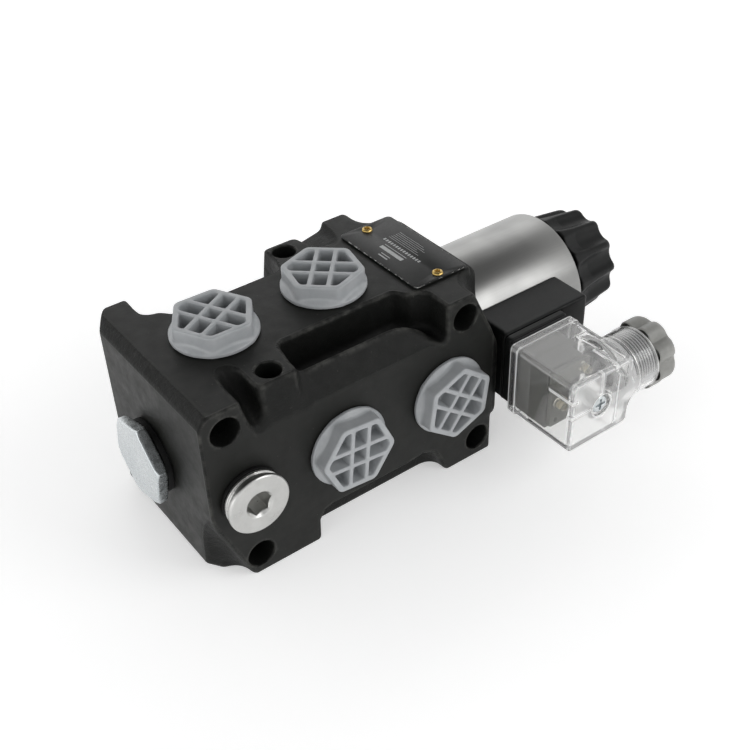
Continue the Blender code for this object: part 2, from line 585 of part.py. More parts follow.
def make_connector():
    """Clear housing with its cable neck, block, lamp board, screw, gasket and cable gland."""
    depth = CONNECTOR_BACK - CONNECTOR_FRONT
    middle = (CONNECTOR_BACK + CONNECTOR_FRONT) / 2
    housing = plate("connector_housing", rounded_square(CONNECTOR_SIZE, CONNECTOR_CORNER), depth,
                    (CONNECTOR_X, middle, AXIS_Z), TURN_TO_FRONT, CLEAR)
    side = CONNECTOR_X + CONNECTOR_SIZE / 2
    neck = rod("cable_neck", (side - 1.0, GLAND_Y, AXIS_Z), GLAND_NECK_END - side + 1.0,
               GLAND_NECK_RADIUS, TURN_TO_X, None, 32)
    join(housing, neck)
    inner = CONNECTOR_SIZE - 2 * CONNECTOR_WALL
    cavity = plate("housing_cavity_cut", rounded_square(inner, 0.2, 1), depth,
                   (CONNECTOR_X, middle + 2.4, AXIS_Z), TURN_TO_FRONT)
    neck_bore = rod("neck_bore_cut", (side - 6.0, GLAND_Y, AXIS_Z), 30, 9.8, TURN_TO_X, None, 24)
    cut(housing, cavity, neck_bore)
    boss = rod("screw_boss", (CONNECTOR_X, -60.6, AXIS_Z), 8.0, 5.2, TURN_TO_FRONT, None, 20)
    join(housing, boss)
    recess = turned("screw_recess_cut", [(0, 4.7), (4.0, 4.7), (4.0, 0), (1.9, 0), (1.9, -9), (0, -9)],
                    (CONNECTOR_X, -65.6, AXIS_Z), TURN_TO_FRONT, None, 20)
    cut(housing, recess)
    half = CONNECTOR_SIZE / 2 - 0.6
    gasket = box("connector_gasket", (CONNECTOR_X - 11.6, -40.0, AXIS_Z - half),
                 (CONNECTOR_X + half, -38.5, AXIS_Z + half), RUBBER)
    cut(gasket, box("gasket_window_cut", (CONNECTOR_X - 10, -42, AXIS_Z - 11),
                    (CONNECTOR_X + 11, -37, AXIS_Z + 11)))
    make_terminal_block(inner)
    make_connector_screw()
    make_gland(side)


def make_terminal_block(inner):
    """Socket block that takes the blades, and the lamp board in front of it."""
    half = inner / 2 - GAP
    block = box("terminal_block", (CONNECTOR_X - half, -56.8, AXIS_Z - half),
                (CONNECTOR_X + 5.6, -41.0, AXIS_Z + half), GREY_PLASTIC)
    cut(block, rod("block_screw_cut", (CONNECTOR_X, -40, AXIS_Z), 20, 2.3, TURN_TO_FRONT, None, 12))
    for name, x, z, wide, tall in (("1", CONNECTOR_X, AXIS_Z + 9.0, 6.3, 0.8),
                                   ("2", CONNECTOR_X, AXIS_Z - 9.0, 6.3, 0.8),
                                   ("earth", CONNECTOR_X - 9.0, AXIS_Z, 0.8, 6.3)):
        cut(block, box("blade_slot_%s_cut" % name, (x - wide / 2 - 0.4, -50, z - tall / 2 - 0.4),
                       (x + wide / 2 + 0.4, -40, z + tall / 2 + 0.4)))
    board = box("lamp_board", (CONNECTOR_X - half, -59.0, AXIS_Z - half + 2),
                (CONNECTOR_X + 4.0, -57.4, AXIS_Z + half), BOARD)
    cut(board, rod("board_screw_cut", (CONNECTOR_X, -56, AXIS_Z), 6, 5.6, TURN_TO_FRONT, None, 16))
    for index, (x, z) in enumerate(((CONNECTOR_X, AXIS_Z + 9.4), (CONNECTOR_X - 9.2, AXIS_Z)), 1):
        profile = [(0, 4.2), (0.9, 3.9), (1.5, 3.0), (1.5, 0.8), (1.8, 0.8), (1.8, 0), (0, 0)]
        turned("lamp_%d" % index, profile, (x, -59.3, z), TURN_TO_FRONT, LAMP, 10)


def make_connector_screw():
    """Central fixing screw: cross-slotted head, seal under it and a long shank."""
    profile = [(0, 2.0), (2.6, 2.0), (3.2, 1.4), (3.2, 0), (1.5, 0), (1.5, -30.5), (0, -30.5)]
    screw = turned("connector_screw", profile, (CONNECTOR_X, -66.8, AXIS_Z), TURN_TO_FRONT, ZINC, 16)
    cut(screw, box("cross_slot_1_cut", (CONNECTOR_X - 2, -70, AXIS_Z - 0.35),
                   (CONNECTOR_X + 2, -67.6, AXIS_Z + 0.35)),
        box("cross_slot_2_cut", (CONNECTOR_X - 0.35, -70, AXIS_Z - 2),
            (CONNECTOR_X + 0.35, -67.6, AXIS_Z + 2)))
    seal = [(3.4, 0.6), (3.4, 0), (1.9, 0), (1.9, 0.6)]
    turned("screw_seal", seal, (CONNECTOR_X, -65.9, AXIS_Z), TURN_TO_FRONT, RUBBER, 16, True)


def make_gland(side):
    """Cable gland: rubber bush, pressure washer and a lobed nut threaded into the neck."""
    bush = [(9.3, 7.0), (9.3, 1.5), (8.2, 0), (4.2, 0), (4.2, 7.0)]
    turned("gland_seal", bush, (side - 2.4, GLAND_Y, AXIS_Z), TURN_TO_X, RUBBER, ring=True)
    tube("gland_washer", side + 4.9, side + 5.7, 9.3, 4.6, STEEL, GLAND_Y)
    nut = plate("gland_nut", lobed_outline(12.3, 1.3, GLAND_LOBES, 13.0, 4), GLAND_NUT_END - 151.0,
                ((GLAND_NUT_END + 151.0) / 2, GLAND_Y, AXIS_Z), TURN_TO_X, GREY_PLASTIC)
    crown = turned("gland_crown", [(0, 9), (9.4, 9), (12.6, 6.2), (12.6, -1), (0, -1)],
                   (151.0, GLAND_Y, AXIS_Z), TURN_TO_X)
    boolean(nut, crown, "INTERSECT")
    join(nut, rod("gland_thread", (side + 6.0, GLAND_Y, AXIS_Z), 12.0, 9.4, TURN_TO_X))
    cut(nut, rod("gland_bore_cut", (side, GLAND_Y, AXIS_Z), 30, 5.4, TURN_TO_X))


# ---- ring nut -----------------------------------------------------------------------------
def make_ring_nut():
    """Tapered lobed nut that clamps the coil on the core tube, with a plain collar."""
    length = NUT_END - NUT_START
    nut = plate("ring_nut", lobed_outline(NUT_RADIUS, NUT_LOBE_DEPTH, NUT_LOBES, 21.0, 4), length,
                ((NUT_START + NUT_END) / 2, 0, AXIS_Z), TURN_TO_X, BLACK_PLASTIC)
    for vertex in nut.data.vertices:
        if vertex.co.z > 0:
            vertex.co.x *= NUT_END_RADIUS / NUT_RADIUS
            vertex.co.y *= NUT_END_RADIUS / NUT_RADIUS
    join(nut, rod("nut_collar", (NUT_START, 0, AXIS_Z), NUT_COLLAR, NUT_RADIUS - 0.1, TURN_TO_X))
    crown = turned("nut_crown", [(0, length + 1), (16.8, length), (18.4, length - 1.4), (21.5, 2.0),
                                 (20.0, 0), (20.0, -1), (0, -1)], (NUT_START, 0, AXIS_Z), TURN_TO_X)
    boolean(nut, crown, "INTERSECT")
    recess = turned("nut_recess_cut", [(14.2, length + 1), (14.2, 12), (12.2, 12), (12.2, length + 1)],
                    (NUT_START, 0, AXIS_Z), TURN_TO_X, ring=True)
    cut(nut, rod("nut_bore_cut", (NUT_START - 1, 0, AXIS_Z), 30, 9.8, TURN_TO_X), recess)
    return nut


# ---- name plate ---------------------------------------------------------------------------
def make_name_plate():
    top = BODY_HEIGHT + GAP
    name_plate = box("name_plate", (PLATE_X[0], -PLATE_HALF_WIDTH, top),
                     (PLATE_X[1], PLATE_HALF_WIDTH, top + 0.6), PLATE)
    for index, (x, y) in enumerate(RIVETS, 1):
        cut(name_plate, rod("plate_hole_%d_cut" % index, (x, y, top - 2), 6, 1.3, NO_TURN, None, 8))
        profile = [(0, 0.7), (1.2, 0.7), (1.9, 0.2), (1.9, 0), (1.0, 0), (1.0, -3.2), (0, -3.2)]
        turned("plate_rivet_%d" % index, profile, (x, y, top + 0.9), NO_TURN, BRASS, 8)


make_body()
make_port_plugs()
make_drain_plug()
make_end_plug()
make_spool()
make_spring()
make_tube()
make_coil()
make_terminal_box()
make_connector()
make_ring_nut()
make_name_plate()
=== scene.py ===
"""Visual model of the solenoid directional valve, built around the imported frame.

Most solid pieces are written as distance fields in millimetres (x from the end face, y across,
z up) and turned into meshes by surface_net; turned pieces are swept profiles.
"""
import itertools
import math

import bmesh
import bpy
import numpy as np
from mathutils import Matrix, Vector


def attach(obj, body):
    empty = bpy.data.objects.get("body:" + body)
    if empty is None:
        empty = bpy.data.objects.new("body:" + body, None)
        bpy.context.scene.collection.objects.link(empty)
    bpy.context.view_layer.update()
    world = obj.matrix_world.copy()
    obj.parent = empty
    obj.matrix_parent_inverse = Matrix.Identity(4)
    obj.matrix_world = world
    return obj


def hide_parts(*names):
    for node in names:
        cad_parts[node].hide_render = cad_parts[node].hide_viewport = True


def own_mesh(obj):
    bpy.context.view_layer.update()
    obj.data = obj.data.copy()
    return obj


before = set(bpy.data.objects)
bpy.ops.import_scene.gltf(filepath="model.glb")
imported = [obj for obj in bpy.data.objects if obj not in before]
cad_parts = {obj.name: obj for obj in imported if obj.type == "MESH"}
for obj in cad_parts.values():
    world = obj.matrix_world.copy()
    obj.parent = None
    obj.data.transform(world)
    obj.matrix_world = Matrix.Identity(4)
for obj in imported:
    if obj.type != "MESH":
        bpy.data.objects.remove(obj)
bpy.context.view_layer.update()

MM = 0.001
X_SHIFT = -55.5                 # frame x of the end face
AXIS_Z = 34.2                   # height of the spool and coil axis
FRONT, BACK = -33.5, 33.5
TOP = 68.4
BODY_LENGTH = 108.6
SEAT_END = 111                  # face of the round seat that the coil stands against
DRAIN_X = 13.3


# ---- distance fields ----
def smax(a, b, k):
    """Maximum with a blend about k wide."""
    h = np.maximum(k - np.abs(a - b), 0) / k
    return np.maximum(a, b) + h * h * k * 0.25


def smin(a, b, k):
    return -smax(-a, -b, k)


def slab(v, low, high):
    return np.maximum(low - v, v - high)


def disc(u, v, centre, radius):
    return np.hypot(u - centre[0], v - centre[1]) - radius


def beyond(u, v, p, q):
    """Signed distance from the line p to q, positive on its right."""
    du, dv = q[0] - p[0], q[1] - p[1]
    return ((u - p[0]) * dv - (v - p[1]) * du) / math.hypot(du, dv)


def polygon(u, v, points):
    """Exact signed distance to a closed outline, negative inside."""
    u, v = np.broadcast_arrays(u, v)
    best = np.full(u.shape, 1e9, np.float32)
    inside = np.zeros(u.shape, bool)
    count = len(points)
    for i in range(count):
        (ax, ay), (bx, by) = points[i], points[(i + 1) % count]
        ex, ey = bx - ax, by - ay
        wx, wy = u - ax, v - ay
        t = np.clip((wx * ex + wy * ey) / (ex * ex + ey * ey), 0, 1)
        best = np.minimum(best, (wx - ex * t) ** 2 + (wy - ey * t) ** 2)
        crosses = (ay > v) != (by > v)
        with np.errstate(divide="ignore", invalid="ignore"):
            at = ax + (v - ay) * ex / (ey if ey else 1e-12)
        inside ^= crosses & (u < at)
    return np.where(inside, -1, 1) * np.sqrt(best)


def hexagon(u, v, apothem, turn, k=0):
    """Distance to a hexagon with corners at turn + 60i degrees, blended about k wide."""
    best = None
    for i in range(3):
        angle = math.radians(turn + 30 + 60 * i)
        side = np.abs(u * math.cos(angle) + v * math.sin(angle)) - apothem
        if best is None:
            best = side
        else:
            best = smax(best, side, k) if k else np.maximum(best, side)
    return best


def surface_net(field, low, high, step):
    """Mesh of the field's zero surface: (vertices, quads), vertices moved onto the surface."""
    axes = [np.arange(a - 1.5 * step, b + 1.5 * step + step * 0.5, step, dtype=np.float32)
            for a, b in zip(low, high)]
    grid = [axis.reshape([-1 if i == j else 1 for j in range(3)]) for i, axis in enumerate(axes)]
    values = np.broadcast_to(field(*grid), [len(a) for a in axes]).astype(np.float32)
    inside = values < 0
    cells = [n - 1 for n in values.shape]
    # cells that the surface passes through
    total = np.zeros(cells, np.int8)
    for i, j, k in itertools.product((0, 1), repeat=3):
        total += inside[i:i + cells[0], j:j + cells[1], k:k + cells[2]]
    active = (total > 0) & (total < 8)
    index = np.full(cells, -1, np.int64)
    where = np.argwhere(active)
    index[active] = np.arange(len(where))
    # each cell's vertex is the mean of the crossings on its edges
    points = np.zeros((len(where), 3))
    hits = np.zeros(len(where))
    for axis, a, b in itertools.product(range(3), (0, 1), (0, 1)):
        start = np.insert(np.array([a, b]), axis, 0)
        end = start.copy()
        end[axis] = 1
        v0 = values[tuple((where + start).T)]
        v1 = values[tuple((where + end).T)]
        cross = (v0 < 0) != (v1 < 0)
        t = np.where(cross, v0 / np.where(cross, v0 - v1, 1), 0)
        points += np.where(cross[:, None], start + (end - start) * t[:, None], 0)
        hits += cross
    points = points / hits[:, None] + where
    vertices = np.stack([axes[i][0] + points[:, i] * step for i in range(3)], 1)
    # one quad round each grid edge that crosses the surface
    quads = []
    for axis in range(3):
        first = np.take(inside, range(values.shape[axis] - 1), axis)
        second = np.take(inside, range(1, values.shape[axis]), axis)
        change = np.argwhere(first != second)
        others = [i for i in range(3) if i != axis]
        keep = (change[:, others] > 0).all(1)
        keep &= np.array([change[:, i] < cells[i] for i in others]).all(0)
        change = change[keep]
        outward = first[tuple(change.T)]
        ring = []
        for a, b in ((-1, -1), (0, -1), (0, 0), (-1, 0)):
            offset = np.zeros(3, int)
            offset[others[0]], offset[others[1]] = a, b
            ring.append(index[tuple((change + offset).T)])
        ring = np.stack(ring, 1)
        flip = outward if axis == 1 else ~outward
        ring[flip] = ring[flip][:, ::-1]
        quads.append(ring)
    quads = np.concatenate(quads)
    for _ in range(3):
        vertices = settle(field, vertices, step)
    return vertices, quads


def gradient(field, vertices, reach):
    slopes = []
    for axis in range(3):
        offset = np.zeros(3)
        offset[axis] = reach
        ahead = field(*(vertices + offset).T)
        behind = field(*(vertices - offset).T)
        slopes.append((ahead - behind) / (2 * reach))
    return np.stack(slopes, 1)


def settle(field, vertices, step):
    """One short step towards the zero surface."""
    slope = gradient(field, vertices, step * 0.1)
    size = np.maximum((slope ** 2).sum(1), 0.25)
    move = -(field(*vertices.T) / size)[:, None] * slope
    length = np.linalg.norm(move, axis=1)
    limit = step * 0.35
    return vertices + move * np.minimum(1, limit / np.maximum(length, 1e-9))[:, None]


# ---- objects ----
def at(x, y, z):
    """End-face millimetres to world metres."""
    return Vector(((x + X_SHIFT) * MM, y * MM, z * MM))


DATUM = Matrix.Translation(at(0, 0, 0))


def linked(name, data):
    """A new object in the scene."""
    made = bpy.data.objects.new(name, data)
    bpy.context.scene.collection.objects.link(made)
    return made


def evaluated(holder):
    """The mesh of an object as evaluated; the object is removed."""
    graph = bpy.context.evaluated_depsgraph_get()
    mesh = bpy.data.meshes.new_from_object(holder.evaluated_get(graph))
    bpy.data.objects.remove(holder, do_unlink=True)
    return mesh


def mesh_from(bm, name):
    """A new mesh from a bmesh, which is freed."""
    mesh = bpy.data.meshes.new(name)
    bm.to_mesh(mesh)
    bm.free()
    return mesh


def make_mesh(name, vertices, faces, matrix=DATUM):
    """A mesh in world metres from local millimetres."""
    turn, place = np.array(matrix.to_3x3()), np.array(matrix.translation)
    places = np.asarray(vertices, float) * MM @ turn.T + place
    mesh = bpy.data.meshes.new(name)
    mesh.from_pydata(places.tolist(), [], faces.tolist(), shade_flat=False)
    mesh.validate()
    return mesh


def keep_values(mesh, name, values):
    """Store a number for each vertex, for a material to read."""
    layer = mesh.attributes.new(name, "FLOAT", "POINT")
    layer.data.foreach_set("value", values.astype(np.float32))


def finish(name, mesh, material, body, nodes, sharp=30.0):
    """Object for a mesh: shading, material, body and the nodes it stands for."""
    piece = linked(name, mesh)
    mesh.materials.clear()
    mesh.materials.append(material)
    mesh.shade_smooth()
    mesh.set_sharp_from_angle(angle=math.radians(sharp))
    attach(piece, body)
    if nodes:
        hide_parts(*nodes)
    return piece


def thinned(mesh, faces):
    """Collapse a mesh to about a number of triangles."""
    holder = linked("thin", mesh)
    mesh.calc_loop_triangles()
    count = len(mesh.loop_triangles)
    if count > faces:
        step = holder.modifiers.new("thin", "DECIMATE")
        step.ratio = faces / count
    result = evaluated(holder)
    result.name = mesh.name
    return result


# ---- valve body ----
TOP_PORTS = {"port_plug_top_1": (25.65, 28.1), "port_plug_top_2": (65.55, 47.9)}
FRONT_PORTS = {"port_plug_front_1": (48.7, 84.1), "port_plug_front_2": (88.6, 52.2)}
BACK_PORTS = {"port_plug_back_1": (37.2, 15.0), "port_plug_back_2": (77.1, 40.0)}
TIE_ROD_HOLES = ((8.2, 60.7), (96.1, 60.7), (14.9, 7.7), (102.6, 7.7))
MOUNT_HOLES = ((28.4, -25.5), (67.2, 25.5))
RIVETS = ((97.35, -17.9), (95.8, 17.7))
BORE_RADIUS, PORT_RADIUS, TIE_ROD_RADIUS, MOUNT_RADIUS, RIVET_RADIUS = 8.3, 10.2, 4.75, 4.0, 1.35
PORT_DEPTH, MOUNT_DEPTH = 15.0, 20.0
RIB_CENTRE_X = 47.8


def eased(profile, size, closed=True):
    """Round the corners of a profile; points on the axis stay."""
    steps = 3
    result = []
    count = len(profile)
    for i, (r, w) in enumerate(profile):
        if (not closed and i in (0, count - 1)) or r < 1e-6:
            result.append((r, w))
            continue
        here = Vector((r, w))
        before, after = Vector(profile[i - 1]), Vector(profile[(i + 1) % count])
        a, b = before - here, after - here
        reach = min(size, a.length * 0.45, b.length * 0.45)
        if reach < 1e-4 or abs(a.normalized().dot(b.normalized())) > 0.999:
            result.append((r, w))
            continue
        start, end = here + a.normalized() * reach, here + b.normalized() * reach
        for step in range(steps + 1):
            t = step / steps
            p = start * (1 - t) ** 2 + here * 2 * t * (1 - t) + end * t ** 2
            result.append((p.x, p.y))
    return result


def front_cavity(x, y, z):
    """Cast hollows of the front side: groove, set-back column face and lipped trench."""
    groove = [(16.6, -14.6), (20.2, -15.6), (21.4, -19.0), (21.4, -28.0), (22.0, -45.0),
              (13.4, -45.0), (14.2, -26.0), (15.4, -18.0)]
    trench = [(37.6, -16.2), (35.2, -27.6), (34.6, -45.0), (88.2, -45.0), (89.2, -27.0),
              (88.9, -23.4), (86.8, -21.5), (83.8, -20.8), (82.0, -18.9), (80.6, -16.2)]
    lip_face = [(20, 30), (20, 66.6), (71, 66.6), (76, 64.7), (82, 60), (86, 53.6), (87.4, 47.0),
                (87.8, 30)]
    side = (13.9 + 0.27 * (TOP - z) - x) * 0.965
    floor = (67.9 + (y + 15.0) * 0.70 - z) * 0.82
    cavity = smax(smax(polygon(x, y, eased(groove, 2.0)), side, 1.0), floor, 4.5)
    column = smax(slab(x, 19.0, 36.5), (y + 30.9 + (TOP - z) * 0.21) * 0.979, 2.0)
    cavity = smin(cavity, column, 2.0)
    slope = -(y + 28.0) * 0.881 + (z - 66.6) * 0.474
    lip = smax(smax(y + 27.8, slope, 1.2), polygon(x, z, eased(lip_face, 2.5)), 3.0)
    solid = smin(z - 54.6, lip, 4.0)
    return smin(cavity, smax(polygon(x, y, eased(trench, 2.2)), -solid, 3.0), 2.0)


def back_cavity(x, y, z):
    """Hollows of the back side in mirrored coordinates: shallow dip, column face, open trench."""
    dip = [(12.0, -18.5), (16.0, -19.5), (19.0, -23.0), (20.6, -30.0), (21.0, -45.0),
           (7.8, -45.0), (8.6, -27.0), (9.6, -20.5)]
    trench = [(35.6, -17.2), (33.4, -24.0), (33.0, -45.0), (82.0, -45.0), (82.9, -27.0),
              (82.6, -23.4), (80.6, -21.5), (77.8, -20.8), (76.0, -18.9), (74.6, -17.2)]
    floor = (67.9 + (y + 16.0) * 0.223 - z) * 0.976
    bowl = (16.6 - x) * 0.2
    cavity = smax(polygon(x, y, eased(dip, 3.0)), floor + bowl, 2.5)
    column = smax(slab(x, 20.2, 34.0), (y + 30.9 + (TOP - z) * 0.21) * 0.979, 1.5)
    cavity = smin(cavity, column, 2.0)
    return smin(cavity, smax(polygon(x, y, eased(trench, 2.2)), 47.0 - z, 4.0), 1.5)


def body_field(x, y, z):
    f = smax(smax(slab(x, 0, BODY_LENGTH), slab(y, FRONT, BACK), 0.9), slab(z, 0, TOP), 0.9)
    seat = smax(disc(y, z, (0, AXIS_Z), 38.0), slab(x, 90, SEAT_END), 1.2)
    seat = smax(seat, smax(np.abs(y) - 33.1, slab(z, 1.0, TOP - 1.6), 2.0), 0.9)
    f = smin(f, seat, 1.2)
    f = smax(f, (z - x - TOP + 3.1) / math.sqrt(2), 0.8)
    f = smax(f, (5.3 - x - z) / math.sqrt(2), 0.8)
    f = smax(f, -beyond(x, y, (0, 27.2), (5.2, BACK)), 0.8)
    # cast corners cut back to slanting lines
    low = smax(-beyond(x, z, (0, 28.3), (11.5, 0.2)), y + 25.0, 9.0)
    f = smax(f, -low, 1.6)
    high = smax(-beyond(x, z, (108.5, 50.0), (100.0, 68.0)), y + 21.4, 9.0)
    f = smax(f, -high, 1.6)
    high = smax(-beyond(x, z, (107.0, 50.0), (97.4, 68.4)), 21.4 - y, 9.0)
    f = smax(f, -high, 1.6)
    # hollows of the long sides
    f = smax(f, -front_cavity(x, y, z), 1.3)
    f = smax(f, -back_cavity(2 * RIB_CENTRE_X - x, -y, z), 1.3)
    recess = polygon(x, z, [(37.0, -9), (37.6, 8.0), (39.5, 11.2), (42.5, 12.2), (73.0, 12.0),
                            (79.0, 12.8), (84.0, 10.6), (88.4, 0.8), (91.0, -9)])
    f = smax(f, -smax(recess, 26.0 - np.abs(y), 6.0), 1.6)
    # bores
    r = np.hypot(y, z - AXIS_Z)
    f = smax(f, -np.maximum(r - BORE_RADIUS, slab(x, 13.0, 98.4)), 0.4)
    f = smax(f, -smax(r - 10.5, x - 13.2, 0.6), 0.4)
    f = smax(f, -smax(r - 13.2, 98.2 - x, 0.6), 0.4)
    for ports, v, middle, depth, reach in ((TOP_PORTS, y, 0, TOP - z, TOP / 2),
                                           (FRONT_PORTS, z, AXIS_Z, y - FRONT, BACK),
                                           (BACK_PORTS, z, AXIS_Z, BACK - y, BACK)):
        for port_x, _ in ports.values():
            f = np.maximum(f, -np.maximum(r - 11.0, np.abs(x - port_x) - 4.0))
            across = disc(x, v, (port_x, middle), 0)
            f = smax(f, -np.maximum(across - PORT_RADIUS, depth - PORT_DEPTH), 0.5)
            f = np.maximum(f, -np.maximum(across - 6.5, depth - reach + 4.0))
    across = disc(x, z, (DRAIN_X, AXIS_Z), 0)
    f = smax(f, -np.maximum(across - 8.4, y - FRONT - 13.0), 0.4)
    f = np.maximum(f, -np.maximum(across - 2.6, y - FRONT - 27.0))
    for hole_x, hole_z in TIE_ROD_HOLES:
        f = smax(f, -disc(x, z, (hole_x, hole_z), TIE_ROD_RADIUS), 0.5)
    for hole_x, hole_y in MOUNT_HOLES:
        across = disc(x, y, (hole_x, hole_y), 0)
        f = smax(f, -np.maximum(across - MOUNT_RADIUS, TOP - MOUNT_DEPTH - z), 0.5)
    for hole_x, hole_y in RIVETS:
        across = disc(x, y, (hole_x, hole_y), RIVET_RADIUS)
        f = np.maximum(f, -np.maximum(across, TOP - 2.4 - z))
    return f


def machined(vertices, normals):
    """1 on the flat machined faces, 0 on the cast skin."""
    x, y, z = vertices.T
    near = np.minimum.reduce([np.abs(x), np.abs(z - TOP), np.abs(np.abs(y) - BACK), np.abs(z),
                              np.abs(x - SEAT_END)])
    flat = np.abs(normals).max(1)
    return np.clip((0.35 - near) / 0.2, 0, 1) * np.clip((flat - 0.95) / 0.03, 0, 1)


def convexity(field, vertices, reach):
    """How sharply a surface turns outwards: 0 on flats and hollows, near 1 on edges."""
    total = -6 * field(*vertices.T)
    for axis in range(3):
        for way in (-reach, reach):
            offset = np.zeros(3)
            offset[axis] = way
            total = total + field(*(vertices + offset).T)
    return np.clip(total / reach, 0, 1)


# ---- materials ----
class Nodes:
    """Small helper round one material's node tree."""

    def __init__(self, name, colour, roughness, metallic=0.0):
        self.material = bpy.data.materials.new(name)
        self.material.use_nodes = True
        self.tree = self.material.node_tree
        self.shader = self.tree.nodes["Principled BSDF"]
        self.set("Base Color", (*colour, 1.0))
        self.set("Roughness", roughness)
        self.set("Metallic", metallic)

    def set(self, socket, value):
        self.shader.inputs[socket].default_value = value
        return self

    def node(self, kind, **values):
        made = self.tree.nodes.new(kind)
        for key, value in values.items():
            made.inputs[key].default_value = value
        return made

    def link(self, source, target):
        self.tree.links.new(source, target)

    def place(self):
        return self.node("ShaderNodeTexCoord").outputs["Object"]

    def noise(self, scale, detail=3.0, rough=0.5, stretch=None):
        made = self.node("ShaderNodeTexNoise", Scale=scale, Detail=detail, Roughness=rough)
        place = self.place()
        if stretch:
            mapping = self.node("ShaderNodeMapping", Scale=stretch)
            self.link(place, mapping.inputs["Vector"])
            place = mapping.outputs["Vector"]
        self.link(place, made.inputs["Vector"])
        return made.outputs["Fac"]

    def remap(self, value, low, high, to_low=0, to_high=1):
        made = self.node("ShaderNodeMapRange")
        for key, number in zip(("From Min", "From Max", "To Min", "To Max"),
                               (low, high, to_low, to_high)):
            made.inputs[key].default_value = number
        self.link(value, made.inputs["Value"])
        return made.outputs["Result"]

    def maths(self, operation, a, b=0.0):
        made = self.node("ShaderNodeMath")
        made.operation = operation
        for socket, value in zip(made.inputs, (a, b)):
            if isinstance(value, (int, float)):
                socket.default_value = value
            else:
                self.link(value, socket)
        return made.outputs[0]

    def mix(self, factor, a, b):
        made = self.node("ShaderNodeMix")
        made.data_type = "RGBA"
        self.link(factor, made.inputs[0])
        for socket, value in ((made.inputs[6], a), (made.inputs[7], b)):
            if isinstance(value, tuple):
                socket.default_value = (*value, 1.0)
            else:
                self.link(value, socket)
        return made.outputs[2]

    def colour(self, source):
        self.link(source, self.shader.inputs["Base Color"])
        return self

    def rough(self, source):
        self.link(source, self.shader.inputs["Roughness"])
        return self

    def bump(self, height, strength, distance):
        made = self.node("ShaderNodeBump", Strength=strength, Distance=distance)
        self.link(height, made.inputs["Height"])
        self.link(made.outputs["Normal"], self.shader.inputs["Normal"])
        return self

    def attribute(self, name):
        made = self.node("ShaderNodeAttribute")
        made.attribute_name = name
        return made.outputs["Fac"]


def mottled(name, dark, light, roughness, scale, grain, bump, metallic=0.0, specular=0.5, soft=0.0):
    """A surface whose colour drifts between two tones, with fine grain in gloss and relief."""
    n = Nodes(name, light, roughness, metallic)
    n.set("Specular IOR Level", specular)
    if soft:
        n.set("Subsurface Weight", soft).set("Subsurface Radius", (0.002, 0.002, 0.002))
    drift = n.noise(scale, 4.0, 0.6)
    fine = n.noise(grain, 3.0, 0.6)
    n.colour(n.mix(n.remap(drift, 0.35, 0.65), dark, light))
    n.rough(n.remap(fine, 0.3, 0.7, roughness - 0.07, roughness + 0.07))
    return n.bump(fine, bump, 0.0001).material


def metal(*values):
    return mottled(*values, metallic=1.0)


def casting_material():
    """Black phosphated iron: smooth on machined faces, pebbled on the cast skin, lighter on edges,
    partly as wear and partly as a painted highlight.
    """
    n = Nodes("black_casting", (0.012, 0.0125, 0.0115), 0.5)
    n.set("Specular IOR Level", 0.2)
    face = n.attribute("machined")
    edge = n.attribute("edge")
    drift = n.noise(70.0, 5.0, 0.65)
    patch = n.noise(260.0, 4.0, 0.6)
    specks = n.noise(1100.0, 2.0, 0.5)
    pebble = n.noise(1300.0, 4.0, 0.65)
    lumps = n.noise(420.0, 3.0, 0.55)
    skin = n.mix(n.remap(drift, 0.3, 0.7), (0.0042, 0.0046, 0.0040), (0.0078, 0.0082, 0.0073))
    flat = n.mix(n.remap(drift, 0.3, 0.7), (0.0092, 0.0096, 0.0086), (0.0135, 0.0139, 0.0126))
    both = n.mix(face, skin, flat)
    # convex edges lightened in patches: partly real wear, partly a painted highlight
    scuff_and_highlight = n.maths("MULTIPLY", n.remap(edge, 0.12, 0.6), n.remap(patch, 0.42, 0.66, 0, 0.75))
    worn_and_highlighted = n.mix(scuff_and_highlight, both, (0.060, 0.060, 0.055))
    dust = n.maths("MULTIPLY", n.remap(specks, 0.73, 0.80), 0.22)
    n.colour(n.mix(dust, worn_and_highlighted, (0.24, 0.23, 0.20)))
    gloss = n.remap(face, 0, 1, 0.56, 0.47)
    n.rough(n.maths("ADD", gloss, n.remap(patch, 0.3, 0.7, -0.07, 0.07)))
    rough_skin = n.maths("ADD", pebble, n.maths("MULTIPLY", lumps, 1.6))
    relief = n.maths("MULTIPLY", rough_skin, n.remap(face, 0, 1, 1.0, 0.10))
    return n.bump(relief, 0.6, 0.00026).material


def turned_material(name, colour, roughness, x, z):
    """Turned metal with fine rings about the point x, z."""
    ring_pitch = 0.22 * MM
    n = Nodes(name, colour, roughness, 1.0)
    split = n.node("ShaderNodeSeparateXYZ")
    n.link(n.place(), split.inputs[0])
    squares = []
    for axis, centre in ((0, (x + X_SHIFT) * MM), (2, z * MM)):
        part = n.maths("SUBTRACT", split.outputs[axis], centre)
        squares.append(n.maths("MULTIPLY", part, part))
    radius = n.maths("SQRT", n.maths("ADD", *squares))
    wobble = n.maths("MULTIPLY", n.noise(250.0, 2.0), 3.0)
    rings = n.maths("SINE", n.maths("ADD", n.maths("MULTIPLY", radius, math.tau / ring_pitch), wobble))
    smudge = n.noise(140.0, 4.0, 0.6)
    dark = tuple(c * 0.86 for c in colour)
    n.colour(n.mix(n.remap(smudge, 0.35, 0.65), dark, colour))
    n.rough(n.remap(smudge, 0.3, 0.7, roughness - 0.05, roughness + 0.08))
    return n.bump(rings, 0.12, 0.00003).material


